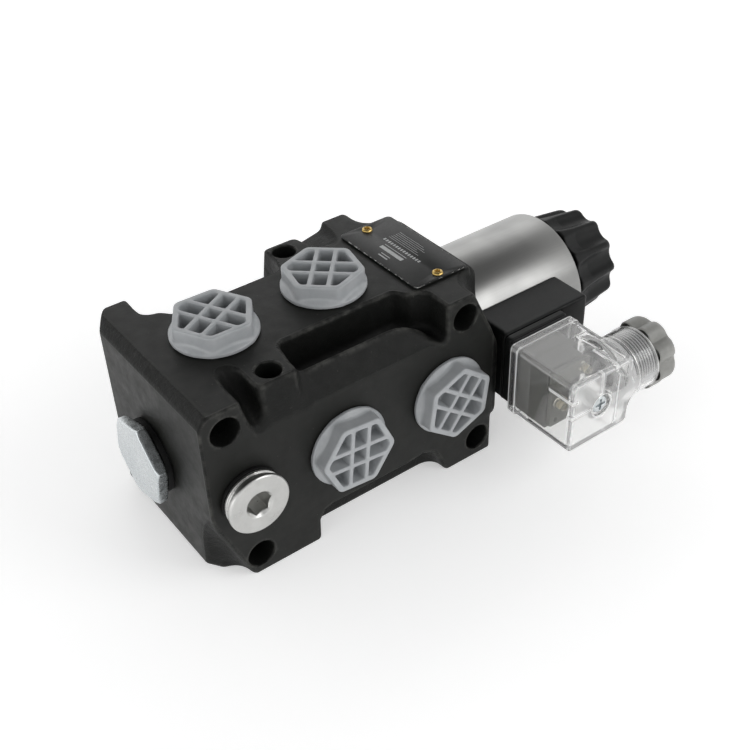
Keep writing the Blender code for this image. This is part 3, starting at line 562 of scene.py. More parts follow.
def coil_material():
    """Plated steel shell: brushed along its length with soft cloudy patches."""
    n = Nodes("coil_plating", (0.44, 0.44, 0.43), 0.36, 1.0)
    cloud = n.noise(60.0, 2.0, 0.5)
    brush = n.noise(1.0, 3.0, 0.6, (60.0, 1800.0, 1800.0))
    tone = n.maths("ADD", n.maths("MULTIPLY", cloud, 0.85), n.maths("MULTIPLY", brush, 0.15))
    n.colour(n.mix(n.remap(tone, 0.35, 0.65), (0.255, 0.255, 0.25), (0.325, 0.325, 0.318)))
    n.rough(n.remap(tone, 0.35, 0.65, 0.34, 0.28))
    return n.bump(cloud, 0.03, 0.00003).material


def clear_material(name, tint, roughness, ior=1.45, hazy=False):
    """Clear plastic. With hazy, a vertex attribute turns it milky where it is above 0; on the housing's
    edges this milkiness is a painted highlight.
    """
    n = Nodes(name, tint, roughness)
    n.set("Transmission Weight", 1.0)
    n.set("IOR", ior)
    gloss = n.remap(n.noise(220.0, 3.0), 0.3, 0.7, roughness, roughness + 0.04)
    if hazy:
        milk_and_highlight = n.attribute("haze_and_painted_light")
        # lower transmission makes the plastic milky; on the housing's edges this is a painted highlight
        n.link(n.remap(milk_and_highlight, 0, 1, 0.97, 0.25), n.shader.inputs["Transmission Weight"])
        gloss = n.maths("ADD", gloss, n.remap(milk_and_highlight, 0.1, 0.6, 0.0, 0.25))
    n.rough(gloss)
    return n.bump(n.noise(160.0, 2.0), 0.05, 0.0001).material


def thread_material():
    """Moulded thread with painted shade in its valleys and a painted highlight on its crests."""
    n = Nodes("thread_plastic", (0.6, 0.6, 0.61), 0.25)
    crest = n.remap(n.attribute("haze_and_painted_light"), 0.25, 0.75)
    # painted shade: valleys coloured near black; painted highlight: crests coloured near white
    n.colour(n.mix(crest, (0.03, 0.03, 0.032), (0.74, 0.74, 0.75)))
    n.rough(n.remap(n.noise(260.0, 3.0), 0.3, 0.7, 0.2, 0.32))
    return n.bump(n.noise(900.0), 0.05, 0.00005).material


CASTING = casting_material()
CAP_GREY = mottled("cap_plastic", (0.33, 0.345, 0.357), (0.38, 0.393, 0.404), 0.34, 220, 1800, 0.08,
                   soft=0.05)
BLACK = mottled("black_plastic", (0.0035, 0.0038, 0.0038), (0.006, 0.0064, 0.0064), 0.42, 260, 2600,
                0.2, specular=0.2)
BOX_BLACK = mottled("terminal_plastic", (0.004, 0.0045, 0.0043), (0.0062, 0.0068, 0.0066), 0.38,
                    260, 2200, 0.12, specular=0.2)
RUBBER = mottled("rubber", (0.004, 0.004, 0.004), (0.007, 0.007, 0.007), 0.62, 400, 1500, 0.2,
                 specular=0.25)
GLAND_GREY = mottled("gland_plastic", (0.235, 0.235, 0.222), (0.28, 0.28, 0.264), 0.42, 260, 2000, 0.1)
THREAD_GREY = thread_material()
BLOCK_GREY = mottled("block_plastic", (0.11, 0.11, 0.099), (0.135, 0.135, 0.122), 0.5, 260, 2000, 0.1)
NYLON = mottled("bobbin_nylon", (0.52, 0.50, 0.42), (0.62, 0.60, 0.52), 0.48, 300, 2000, 0.1)
BOARD = mottled("board_laminate", (0.13, 0.132, 0.115), (0.17, 0.172, 0.15), 0.5, 300, 2000, 0.1)
CHIP = mottled("lamp_chip", (0.78, 0.72, 0.55), (0.95, 0.9, 0.78), 0.35, 900, 2500, 0.1)
PLATE = mottled("plate_lacquer", (0.0085, 0.0092, 0.0088), (0.0135, 0.0142, 0.0136), 0.36, 200,
                1800, 0.1, specular=0.22)
PLATE_MARK = mottled("plate_print", (0.30, 0.31, 0.31), (0.42, 0.43, 0.43), 0.4, 700, 2500, 0.05)
CLEAR = clear_material("clear_plastic", (0.985, 0.985, 0.98), 0.04, 1.40, True)
LAMP = clear_material("lamp_lens", (0.93, 0.91, 0.80), 0.06)
STEEL = metal("ground_steel", (0.42, 0.42, 0.41), (0.52, 0.52, 0.51), 0.3, 150, 2500, 0.06)
SPRING_STEEL = metal("spring_wire", (0.34, 0.34, 0.34), (0.42, 0.42, 0.42), 0.33, 300, 2500, 0.06)
BRASS = metal("brass", (0.42, 0.29, 0.09), (0.60, 0.43, 0.16), 0.28, 500, 2500, 0.06)
COPPER = metal("enamelled_wire", (0.45, 0.16, 0.07), (0.6, 0.24, 0.1), 0.35, 400, 3000, 0.2)
ZINC_END = metal("zinc_plate", (0.53, 0.565, 0.58), (0.60, 0.63, 0.64), 0.26, 60, 500, 0.01)
ZINC_DRAIN = turned_material("turned_zinc", (0.60, 0.60, 0.585), 0.30, DRAIN_X, AXIS_Z)
COIL_STEEL = coil_material()


# ---- piece builders ----
TO_X = Matrix.Rotation(math.radians(90), 4, "Y")       # local Z to +X
TO_FRONT = Matrix.Rotation(math.radians(90), 4, "X")   # local Z to -Y
TO_BACK = Matrix.Rotation(math.radians(-90), 4, "X")   # local Z to +Y
UPRIGHT = Matrix.Identity(4)
ALONG = Matrix(((0, 0, 1), (1, 0, 0), (0, 1, 0))).to_4x4()        # local x, y, z to +Y, +Z, +X
AWAY = Matrix(((0, 0, -1), (1, 0, 0), (0, -1, 0))).to_4x4()       # local x, y, z to +Y, -Z, -X


def spot(x, y, z, turn=UPRIGHT, spin=0.0):
    """Matrix that takes local millimetre geometry to a place on the object."""
    return Matrix.Translation(at(x, y, z)) @ turn @ Matrix.Rotation(math.radians(spin), 4, "Z")


def around(radius, low, high):
    """Corners of a box about the local axis."""
    return (-radius, -radius, low), (radius, radius, high)


def carved(name, field, low, high, step, matrix, material, body, nodes, faces, slot, haze_and_painted_light=None):
    """A piece from a distance field; the function of x, y and z given last is kept on its vertices for
    the material: milkiness and a painted edge highlight on the housing, painted shade and highlight on
    the threads.
    """
    step = step * 1.0
    vertices, quads = surface_net(field, low, high, step)
    mesh = make_mesh(name, vertices, quads, matrix)
    if haze_and_painted_light:
        keep_values(mesh, "haze_and_painted_light", haze_and_painted_light(*vertices.T))
    return finish(name, thinned(mesh, faces), material, body, nodes, 40.0)


def lathe(name, profile, matrix, material, body, nodes, segments=96, closed=False, ease=0.2,
          slot=None, reach=None):
    """A turned piece. reach(angle, radius, w) may push the radius in and out."""
    segments = segments
    angles = [math.tau * s / segments for s in range(segments)]
    bm = bmesh.new()
    rows = []
    for r, w in eased(profile, ease, closed) if ease else profile:
        row = []
        for angle in angles if r > 1e-6 else angles[:1]:       # one point on the axis
            radius = reach(angle, r, w) if reach else r
            place = (radius * math.cos(angle), radius * math.sin(angle), w)
            row.append(bm.verts.new(Vector(place) * MM))
        rows.append(row)
    for first, second in zip(rows, rows[1:] + rows[:1] if closed else rows[1:]):
        for s in range(segments):
            n = (s + 1) % segments
            corners = [first[s % len(first)], first[n % len(first)], second[n % len(second)],
                       second[s % len(second)]]
            corners = list(dict.fromkeys(corners))
            if len(corners) > 2:
                bm.faces.new(corners)
    bmesh.ops.recalc_face_normals(bm, faces=bm.faces)
    mesh = mesh_from(bm, name)
    mesh.transform(matrix)
    mesh.update()
    return finish(name, mesh, material, body, nodes)


def sleeve(name, x_from, x_to, outer, inner, material, body, nodes, y=0.0, ease=0.25, **more):
    """A plain ring along X."""
    length = x_to - x_from
    profile = [(outer, length), (outer, 0.0), (inner, 0.0), (inner, length)]
    return lathe(name, profile, spot(x_from, y, AXIS_Z, TO_X), material, body, nodes, closed=True,
                 ease=ease, **more)


def block_field(low, high, k):
    """A box with rounded edges."""
    def field(x, y, z):
        f = smax(slab(x, low[0], high[0]), slab(y, low[1], high[1]), k)
        return smax(f, slab(z, low[2], high[2]), k)
    return field


# ---- valve body and its fixed parts ----
def build_body():
    step = 0.5
    vertices, quads = surface_net(body_field, (0, FRONT, 0), (SEAT_END, BACK, TOP), step)
    mesh = thinned(make_mesh("body_casting", vertices, quads), 190000)
    places = np.zeros(len(mesh.vertices) * 3, np.float32)
    mesh.vertices.foreach_get("co", places)
    places = places.reshape(-1, 3) / MM - (X_SHIFT, 0, 0)
    slope = gradient(body_field, places, 0.05)
    slope /= np.maximum(np.linalg.norm(slope, axis=1), 1e-6)[:, None]
    for name, values in (("machined", machined(places, slope)),
                         ("edge", convexity(body_field, places, 0.7))):
        keep_values(mesh, name, values)
    body = finish("body_casting", mesh, CASTING, "valve", ["valve_body"], 50.0)
    body.modifiers.new("weighted", "WEIGHTED_NORMAL").keep_sharp = True


def cap_field(u, v, w):
    """Hexagonal port cap: flange, hollow head with a crossed grid, hollow shank."""
    r = np.hypot(u, v)
    head = hexagon(u, v, 11.86 - 0.012 * (w - 2), 30, 1.4)
    f = smax(head, slab(w, 0.4, 7.1), 0.6)
    flange = polygon(r, w, [(-5, 0.3), (13.6, 0.3), (13.82, 0.6), (13.82, 1.5), (11.9, 2.7),
                            (-5, 2.7)])
    f = smin(f, flange, 0.9)
    f = smin(f, np.maximum(r - 9.85, slab(w, -7.5, 1.0)), 0.3)
    f = smax(f, -np.maximum(r - 8.2, slab(w, -20.0, -0.2)), 0.4)
    cells = smax(hexagon(u, v, 9.95 + 0.02 * (w - 7), 30, 1.0), 1.9 - w, 0.8)
    bar_place, bar_half = 3.0, 0.74
    ribs = smin(np.abs(np.abs(u) - bar_place) - bar_half, np.abs(np.abs(v) - bar_place) - bar_half, 0.5)
    ribs = ribs - 0.015 * (7.1 - w)
    return smax(f, -smax(cells, -ribs, 0.7), 0.5)


def build_caps():
    vertices, quads = surface_net(cap_field, *around(13.9, -7.5, 7.1), 0.24)
    flat = thinned(make_mesh("cap", vertices, quads, UPRIGHT), 26000)
    for ports, place, turn in ((TOP_PORTS, (0, TOP), UPRIGHT),
                               (FRONT_PORTS, (FRONT, AXIS_Z), TO_FRONT),
                               (BACK_PORTS, (BACK, AXIS_Z), TO_BACK)):
        for node, (x, spin) in ports.items():
            mesh = flat.copy()
            mesh.transform(spot(x, *place, turn, spin))
            finish(node.replace("port_plug", "port_cap"), mesh, CAP_GREY, "valve", [node],
                   45.0)


def drain_field(u, v, w):
    """Turned plug with a groove, a chamfered rim and a hexagon socket."""
    r = np.hypot(u, v)
    f = polygon(r, w, [(-5, 6.0), (9.85, 6.0), (10.24, 5.6), (10.24, 4.6), (9.2, 4.2), (9.2, 2.9),
                       (9.75, 2.6), (9.75, 1.75), (8.1, 1.75), (8.1, -11), (-5, -11)])
    socket = np.maximum(hexagon(u, v, 3.62, 10), -1.6 - w)
    f = smax(f, -socket, 0.25)
    return smax(f, -smax((r - 4.75 - (w - 6.0)) * 0.7071, 2.0 - w, 0.2), 0.2)


def end_plug_field(u, v, w):
    """Hexagon head over a shank, local w pointing away from the body."""
    r = np.hypot(u, v)
    f = smax(hexagon(u, v, 12.71, -44), slab(w, 2.75, 6.4), 0.35)
    f = smax(f, (w - 6.4 + (r - 13.6) * 0.577) * 0.866, 0.25)
    f = smax(f, (2.75 - w + (r - 13.8) * 0.577) * 0.866, 0.25)
    f = smin(f, smax(r - 10.2, slab(w, -11.0, 4.0), 0.6), 0.2)
    return smax(f, -np.maximum(r - 7.0, w), 0.3)


def build_plugs():
    drain = spot(DRAIN_X, FRONT, AXIS_Z, TO_FRONT)
    carved("drain_plug_turned", drain_field, *around(10.3, -11, 6), 0.2, drain, ZINC_DRAIN, "valve",
           ["drain_plug"], 60000, "zinc")
    lathe("drain_washer", [(9.9, 1.4), (9.9, 0.3), (8.5, 0.3), (8.5, 1.4)], drain, RUBBER, "valve",
          ["drain_plug_seal"], closed=True, slot="rubber")
    carved("end_plug_hex", end_plug_field, *around(14.8, -11, 6.4), 0.25, spot(0, 0, AXIS_Z, AWAY),
           ZINC_END, "valve", ["end_plug"], 50000, "zinc")
    sleeve("end_plug_washer", -2.3, -0.3, 12.3, 10.6, RUBBER, "valve", ["end_plug_seal"],
           slot="zinc")


def rounded_outline(low, high, corner):
    """A rectangle with round corners, counter-clockwise."""
    steps = 5
    points = []
    for i, (sx, sy) in enumerate(((1, 1), (-1, 1), (-1, -1), (1, -1))):
        cx = (high[0] - corner) if sx > 0 else (low[0] + corner)
        cy = (high[1] - corner) if sy > 0 else (low[1] + corner)
        for s in range(steps + 1):
            angle = math.radians(90 * i + 90 * s / steps)
            points.append((cx + corner * math.cos(angle), cy + corner * math.sin(angle)))
    return points


def circle_outline(cx, cy, r, count=24):
    """Clockwise, as a hole in an outline."""
    angles = [-math.tau * s / count for s in range(count)]
    return [(cx + r * math.cos(a), cy + r * math.sin(a)) for a in angles]


def slab_mesh(name, loops, low, high, ease=0.12):
    """A flat plate with eased top edges, from its outline and holes, in world metres."""
    bm = bmesh.new()
    edges = []
    for loop in loops:
        verts = [bm.verts.new(at(x, y, low)) for x, y in loop]
        edges += [bm.edges.new((a, b)) for a, b in zip(verts, verts[1:] + verts[:1])]
    made = bmesh.ops.triangle_fill(bm, use_beauty=True, edges=edges, use_dissolve=False)
    faces = [f for f in made["geom"] if isinstance(f, bmesh.types.BMFace)]
    out = bmesh.ops.extrude_face_region(bm, geom=faces)
    moved = [g for g in out["geom"] if isinstance(g, bmesh.types.BMVert)]
    bmesh.ops.translate(bm, verts=moved, vec=(0, 0, (high - low) * MM))
    bmesh.ops.recalc_face_normals(bm, faces=bm.faces)
    rim = [e for e in bm.edges if len(e.link_faces) == 2 and e.calc_face_angle() > 1.0
           and all(abs(v.co.z - high * MM) < 1e-7 for v in e.verts)]
    bmesh.ops.bevel(bm, geom=rim, offset=ease * MM, segments=2, profile=0.5, affect="EDGES")
    return mesh_from(bm, name)


PLATE_LOW, PLATE_HIGH = TOP + 0.3, TOP + 0.9


def build_plate_rim():
    """Worn bright edge along the plate's rim."""
    bm = bmesh.new()
    edge = rounded_outline((86.36, -20.74), (107.44, 20.74), 1.6)
    inner = rounded_outline((86.55, -20.55), (107.25, 20.55), 1.5)
    ring = [[bm.verts.new(at(x, y, PLATE_HIGH + rise)) for x, y in loop]
            for loop, rise in ((edge, -0.22), (edge, -0.08), (inner, 0.012), (inner, -0.22))]
    for a, b in zip(ring, ring[1:] + ring[:1]):
        for s in range(len(a)):
            t = (s + 1) % len(a)
            bm.faces.new((a[s], a[t], b[t], b[s]))
    bmesh.ops.recalc_face_normals(bm, faces=bm.faces)
    finish("plate_rim", mesh_from(bm, "plate_rim"), edge_material(), "valve", ())


def build_plate_print():
    """Neutral marks: bars of several lengths and a ruled field, no lettering."""
    bm = bmesh.new()
    bars = [(93.2, 0.8, 1.5, 11.4), (94.9, 0.8, 0.25, 11.4), (89.6, 0.8, 0.5, 4.6),
            (90.8, 0.8, 0.3, 4.6)]
    bars += [(96.9, 9.2 - 1.3 * i, 1.1, 0.75) for i in range(15)]
    bars += [(98.9 + 0.9 * i, 1.7 + 0.7 * (i % 3), 0.13, 15.4 - 1.4 * (i % 3)) for i in range(6)]
    for x, y, wide, long in bars:
        bmesh.ops.create_cube(bm, size=1.0, matrix=Matrix.Translation(at(x, y, PLATE_HIGH + 0.01)) @
                              Matrix.Diagonal((wide * MM, long * MM, 0.04 * MM, 1)))
    finish("plate_print", mesh_from(bm, "plate_print"), PLATE_MARK, "valve", ())


def build_name_plate():
    loops = [rounded_outline((86.4, -20.7), (107.4, 20.7), 1.6)]
    loops += [circle_outline(x, y, RIVET_RADIUS) for x, y in RIVETS]
    finish("plate", slab_mesh("plate", loops, PLATE_LOW, PLATE_HIGH), PLATE, "valve", ["name_plate"])
    build_plate_rim()
    build_plate_print()
    profile = [(0.0, -0.1), (0.85, -0.05), (0.95, 0.6), (1.2, 0.72), (1.6, 0.5), (1.85, 0.12),
               (1.85, 0.0), (1.0, 0.0), (1.0, -3.1), (0.0, -3.1)]
    for index, (x, y) in enumerate(RIVETS, 1):
        lathe("rivet_%d" % index, profile, spot(x, y, PLATE_HIGH + 0.02), BRASS, "valve",
              ["plate_rivet_%d" % index], 32, ease=0.08, slot="brass",
              reach=lambda angle, r, w: r * (1 + 0.025 * math.cos(6 * angle)) if r > 1.1 else r)


def edge_material():
    """Bare metal where the lacquer has chipped off the rim, broken up along its length."""
    n = Nodes("plate_worn_edge", (0.04, 0.041, 0.04), 0.32, 0.4)
    chips = n.remap(n.noise(420.0, 3.0, 0.7), 0.50, 0.56)
    split = n.node("ShaderNodeSeparateXYZ")
    n.link(n.place(), split.inputs[0])
    chips = n.maths("MULTIPLY", chips, n.remap(split.outputs[1], 15 * MM, 18 * MM, 1.0, 0.0))
    n.colour(n.mix(chips, (0.02, 0.021, 0.02), (0.72, 0.72, 0.70)))
    n.link(chips, n.shader.inputs["Metallic"])
    return n.bump(n.noise(900.0), 0.2, 0.00005).material


# ---- moving parts inside ----
def spool_profile():
    """Two control lands with balancing grooves, and the end that the spring seat sits on."""
    land, waist = 8.0, 4.8
    stem_end = 19.3
    spool = [(0, 97.0)]
    right = 97.0
    for low, high in ((71.4, 86.4), (31.5, 46.5), (stem_end, stem_end)):
        spool += [(land, right)]
        middle = (high + right) / 2
        for shift in (2.2, 0.0, -2.2):
            w = middle + shift
            if right - high > 7:
                spool += [(land, w + 0.35), (7.55, w + 0.25), (7.55, w - 0.25), (land, w - 0.35)]
        spool += [(land, high)]
        if high > stem_end:
            spool += [(waist, high), (waist, low)]
        right = low
    return spool + [(3.0, stem_end), (3.0, 15.8), (0, 15.8)]


def build_inside():
    axis = spot(0, 0, AXIS_Z, TO_X)
    lathe("spool_ground", spool_profile(), axis, STEEL, "spool_train", ["spool"], ease=0.15,
          slot="steel")
    sleeve("spring_seat_ring", 17.4, 19.0, 7.4, 3.3, STEEL, "spool_train", ["spring_seat"],
           slot="steel")
    sleeve("armature_turned", 132.5, 158.0, 7.2, 1.2, STEEL, "spool_train", ["armature"],
           slot="steel", ease=0.4)
    lathe("push_rod", [(0, 34.9), (2.2, 34.9), (2.2, 0), (0, 0)], spot(97.3, 0, AXIS_Z, TO_X),
          STEEL, "spool_train", ["push_pin"], 32, slot="steel", ease=0.3)
    pin = [(0, 181.8), (2.2, 181.8), (2.2, 168.8), (3.4, 168.8), (3.4, 166.8), (2.2, 166.8),
           (2.2, 161.6), (0, 161.6)]
    lathe("override_button", pin, axis, BRASS, "override", ["override_pin"], 48, slot="brass",
          ease=0.45)
    tube = [(9.4, 177.2), (9.4, 111.2), (12.9, 111.2), (12.9, 98.6), (2.6, 98.6), (2.6, 128.0),
            (7.6, 128.0), (7.6, 177.2)]
    lathe("core_tube_turned", tube, axis, STEEL, "valve", ["core_tube"], closed=True, slot="steel",
          ease=0.35)
    sleeve("tube_end_ring", 169.2, 177.2, 7.3, 2.6, STEEL, "valve", ["tube_end_plug"],
           slot="steel")


def build_spring():
    """Return spring between the end plug and the spring seat."""
    start, end, wire, radius, turns = 0.4, 17.0, 0.75, 5.4, 5.5
    curve = bpy.data.curves.new("spring_path", "CURVE")
    curve.dimensions = "3D"
    curve.bevel_depth = wire * MM
    curve.bevel_resolution = 3
    curve.use_fill_caps = True
    spline = curve.splines.new("POLY")
    count = round(30 * turns) + 1
    spline.points.add(count - 1)
    for index, point in enumerate(spline.points):
        share = index / (count - 1)
        angle = math.tau * turns * share
        along = start + wire + (end - start - 2 * wire) * share
        point.co = (*at(along, radius * math.cos(angle), AXIS_Z + radius * math.sin(angle)), 1.0)
    bm = bmesh.new()
    bm.from_mesh(evaluated(linked("spring_path", curve)))
    bmesh.ops.remove_doubles(bm, verts=bm.verts, dist=1e-6)
    bmesh.ops.recalc_face_normals(bm, faces=bm.faces)
    spring = finish("spring_coil", mesh_from(bm, "spring_coil"), SPRING_STEEL, "valve",
                    ["return_spring"])
    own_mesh(spring)


# ---- coil ----
COIL_START, COIL_LENGTH = 112.0, 48.0
COIL_RADIUS = 23.5
COIL_BORE = 9.8


def build_coil():
    wall, seal_seat = 21.3, 13.2
    case = [(COIL_RADIUS, COIL_LENGTH), (COIL_RADIUS, 0.0), (seal_seat, 0.0), (seal_seat, 1.6),
            (COIL_BORE, 1.6), (COIL_BORE, 3.0), (wall, 3.0), (wall, COIL_LENGTH)]
    lathe("coil_shell", case, spot(COIL_START, 0, AXIS_Z, TO_X), COIL_STEEL, "coil", ["coil_case"],
          160, closed=True, ease=0.7, slot="coil_steel")
    sleeve("coil_end_disc", 156.3, 159.7, 21.0, COIL_BORE, STEEL, "coil", ["coil_end_plate"],
           ease=0.2, slot="steel", segments=128)
    sleeve("coil_seal_front", 111.5, 113.3, 12.9, 10.2, RUBBER, "coil", ["coil_front_seal"],
           slot="rubber")
    sleeve("coil_seal_rear", 160.3, 161.6, 20.8, 10.2, RUBBER, "coil", ["coil_rear_seal"],
           slot="rubber", segments=128)
    cheek, tube = 20.8, 11.0
    bobbin = [(cheek, 40.7), (cheek, 39.1), (tube, 39.1), (tube, 1.6), (cheek, 1.6), (cheek, 0.0),
              (COIL_BORE, 0.0), (COIL_BORE, 40.7)]
    lathe("bobbin", bobbin, spot(115.3, 0, AXIS_Z, TO_X), NYLON, "coil", ["coil_bobbin"],
          closed=True, slot="bobbin_plastic")
    turns, length = 46, 36.9
    winding = [(11.3, length), (11.3, 0.0)]
    for i in range(turns):
        w = length * (i + 0.5) / turns
        winding += [(19.85, w - 0.34), (20.2, w), (19.85, w + 0.34)]
    lathe("winding", winding[::-1], spot(117.2, 0, AXIS_Z, TO_X), COPPER, "coil", ["coil_winding"],
          closed=True, ease=0, slot="copper")


PLUG_X = 123.1
BLADE_REACH = 9.0                # from the plug's axis to each blade
BLADES = {"1": (PLUG_X, AXIS_Z + BLADE_REACH, 6.3, 0.8), "2": (PLUG_X, AXIS_Z - BLADE_REACH, 6.3, 0.8),
          "earth": (PLUG_X - BLADE_REACH, AXIS_Z, 0.8, 6.3)}    # x, z, width, height


def terminal_box_field(x, y, z):
    """Moulded box on the coil with a grooved plinth, a screw hole and slots for the blades."""
    f = smax(smax(slab(x, 112.3, 149.3), slab(z, AXIS_Z - 13.6, AXIS_Z + 13.6), 1.3),
             slab(y, -35.4, -15.0), 1.0)
    f = smax(f, -(np.hypot(y, z - AXIS_Z) - (COIL_RADIUS + 0.4)), 0.4)
    plinth = smax(smax(slab(x, 111.6, 136.9), slab(z, AXIS_Z - 13.2, AXIS_Z + 13.2), 1.6),
                  slab(y, -38.2, -34.0), 0.7)
    f = smin(f, plinth, 0.6)
    groove = np.maximum(np.abs(y + 35.5) - 0.22,
                        -smax(slab(x, 112.5, 136.1), slab(z, AXIS_Z - 12.5, AXIS_Z + 12.5), 1.0))
    f = smax(f, -np.maximum(groove, x - 137.2), 0.2)
    f = smax(f, -np.maximum(disc(x, z, (PLUG_X, AXIS_Z), 1.9), y + 32.0), 0.3)
    for cx, cz, wide, tall in BLADES.values():
        slot = np.maximum(np.abs(x - cx) - wide / 2 - 0.3, np.abs(z - cz) - tall / 2 - 0.3)
        f = np.maximum(f, -np.maximum(slot, y + 34.5))
    return f


def build_terminal_box():
    carved("terminal_moulding", terminal_box_field, (111.5, -38.3, 20.5), (149.4, -15, 47.9), 0.3,
           DATUM, BOX_BLACK, "coil", ["terminal_box"], 60000, "black_plastic")
    for name, (cx, cz, wide, tall) in BLADES.items():
        low = (cx - wide / 2, -48, cz - tall / 2)
        high = (cx + wide / 2, -34.8, cz + tall / 2)
        carved("contact_blade_" + name, block_field(low, high, 0.4), low, high, 0.15, DATUM, STEEL,
               "coil", ["terminal_blade_" + name], 6000, "steel")


NUT_START = 161.9


def ring_nut_field(u, v, w):
    """Tapered lobed clamping nut, local w from the coil side outwards."""
    lobes, first_lobe, flute_radius = 12, math.radians(141.0), 4.7
    pitch = math.tau / lobes
    r = np.hypot(u, v)
    angle = np.arctan2(v, u)
    beside = np.abs((angle - first_lobe + pitch / 2) % pitch - pitch / 2) - pitch / 2
    crest = 20.3 - (w - 3.2) * 0.116
    f = (r - crest) * 0.99
    hollow = crest + 2.3 + 0.16 * np.maximum(8.0 - w, 0.0)
    flute = np.hypot(r * np.cos(beside) - hollow, r * np.sin(beside)) - flute_radius
    f = smax(f, -flute, 0.9)
    f = smax(f, slab(w, 1.5, 21.25), 0.9)
    f = smax(f, (r - 17.6 + (w - 21.3) * 0.8) * 0.78, 1.2)
    collar = smax(r - 18.3, slab(w, 0.0, 3.4), 0.3)
    f = smin(f, collar, 0.2)
    f = smax(f, -np.maximum(r - COIL_BORE, slab(w, -5, 40)), 0.5)
    recess = smax(slab(r, 12.2, 14.2), 12.0 - w, 0.8)
    return smax(f, -recess, 0.5)


def build_ring_nut():
    place = spot(NUT_START, 0, AXIS_Z, ALONG)
    carved("clamp_nut", ring_nut_field, *around(20.5, 0, 21.3), 0.33, place, BLACK, "nut",
           ["ring_nut"], 90000, "black_plastic")


# ---- connector and cable gland ----
PLUG_HALF = 13.75
PLUG_INNER = 11.95
PLUG_BACK, PLUG_FRONT = -40.3, -69.6
GLAND_Y = -57.8
THREAD_PITCH = 1.12
NECK_START, NECK_END = 130.0, 150.6
NECK_RADIUS, NECK_BORE = 10.9, 9.85
BUSH_START, NUT_THREAD_START = 134.45, 142.85
SCREW_SEAT_Y = -66.8             # under the fixing screw's head


def saw(v, pitch):
    """Rounded thread form between 0 and 1."""
    return 0.5 + 0.5 * np.cos(v * (math.tau / pitch))


def housing_field(x, y, z):
    """Clear plug housing: flanged back rim, marked faces, screw boss and cable neck."""
    u, v = x - PLUG_X, z - AXIS_Z
    front = PLUG_FRONT + 0.35
    skin = PLUG_HALF - 0.3 + (y + 44.0) * 0.006
    f = smax(smax(np.abs(u) - skin, np.abs(v) - skin, 1.8), slab(y, front, -41.0), 1.1)
    rim = smax(smax(np.abs(u) - PLUG_HALF, np.abs(v) - PLUG_HALF, 2.0), slab(y, -44.0, PLUG_BACK), 0.6)
    f = smin(f, rim, 0.4)
    # raised marks on the top and left faces and across the front
    for a, b in ((u - 5.6, v), (v - 6.9, -u)):
        rib = smax(np.abs(a) - 0.55, slab(b, 11.0, PLUG_HALF), 0.3)
        f = smin(f, smax(rib, slab(y, PLUG_FRONT + 0.3, -58.6), 0.4), 0.5)
    for a, b in ((u + 0.9, v), (v - 0.8, -u)):
        bar = smax(np.abs(a) - 0.6, slab(b, 5.0, PLUG_HALF - 0.2), 0.4)
        f = smin(f, smax(bar, slab(y, PLUG_FRONT + 0.2, -67.8), 0.3), 0.3)
        pad = np.hypot(np.hypot(a, b - PLUG_HALF + 1.3), y + 68.1) - 1.1
        f = smin(f, pad, 0.3)
    # cable neck running out of the side
    across = np.hypot(y - GLAND_Y, v)
    neck = smax(across - NECK_RADIUS, slab(x, NECK_START, NECK_END), 0.4)
    cone = np.maximum((across - 12.6 + (x - 136.0) * 0.35) * 0.944, slab(x, NECK_START, 141.0))
    f = smin(f, smin(neck, cone, 1.0), 1.2)
    # hollow inside, stepped near the mouth
    wide = np.abs(u) - PLUG_INNER
    tall = np.abs(v) - PLUG_INNER
    hollow = smax(smax(wide, tall, 1.2), slab(y, -67.2, -30.0), 0.8)
    mouth = smax(smax(wide - 0.35, tall - 0.35, 1.0), -49.4 - y, 0.3)
    f = smax(f, -smin(hollow, mouth, 0.2), 0.3)
    f = smax(f, -np.maximum(across - NECK_BORE, 131.0 - x), 0.15)
    f = smax(f, PLUG_FRONT - y, 0.1)
    # boss and hole of the fixing screw
    r = np.hypot(u, v)
    f = smin(f, smax(r - 5.2, slab(y, -69.0, -60.6), 0.3), 0.6)
    f = smax(f, -smax(r - 4.0, y + 65.6, 0.4), 0.3)
    return smax(f, -np.maximum(r - 1.9, slab(y, -75, -55)), 0.2)


def housing_haze_and_highlight(x, y, z):
    """Milkiness of the housing: edges and marks are made milky white as a painted highlight, the front
    and top walls are cloudy.
    """
    reach = 0.5
    outer = np.minimum(np.minimum(PLUG_HALF - np.abs(x - PLUG_X), PLUG_HALF - np.abs(z - AXIS_Z)),
                       y - PLUG_FRONT)
    points = np.stack((x, y, z), 1)
    # painted highlight: convex edges near the outside are turned milky white so they read bright
    edge = convexity(housing_field, points, reach) * np.clip(1.2 - outer, 0, 1)
    front = np.clip((PLUG_FRONT + 1.6 - y) / 0.8, 0, 1) * 0.42
    window = smax(slab(x, 124.2, 133.6), slab(z, 37.4, 45.6), 0.8)
    front = front * np.clip(window / 0.5, 0.25, 1)
    top = np.clip((z - AXIS_Z - PLUG_HALF + 1.4) / 0.8, 0, 1) * np.clip((PLUG_X + 13 - x) / 2, 0, 1)
    cone = np.clip(x - PLUG_X - PLUG_HALF + 0.4, 0, 1) * np.clip(140.0 - x, 0, 1) * 0.4
    walls = np.maximum(np.maximum(front, cone), top * 0.24)
    return np.clip(np.maximum(edge * 1.7, walls), 0, 1)


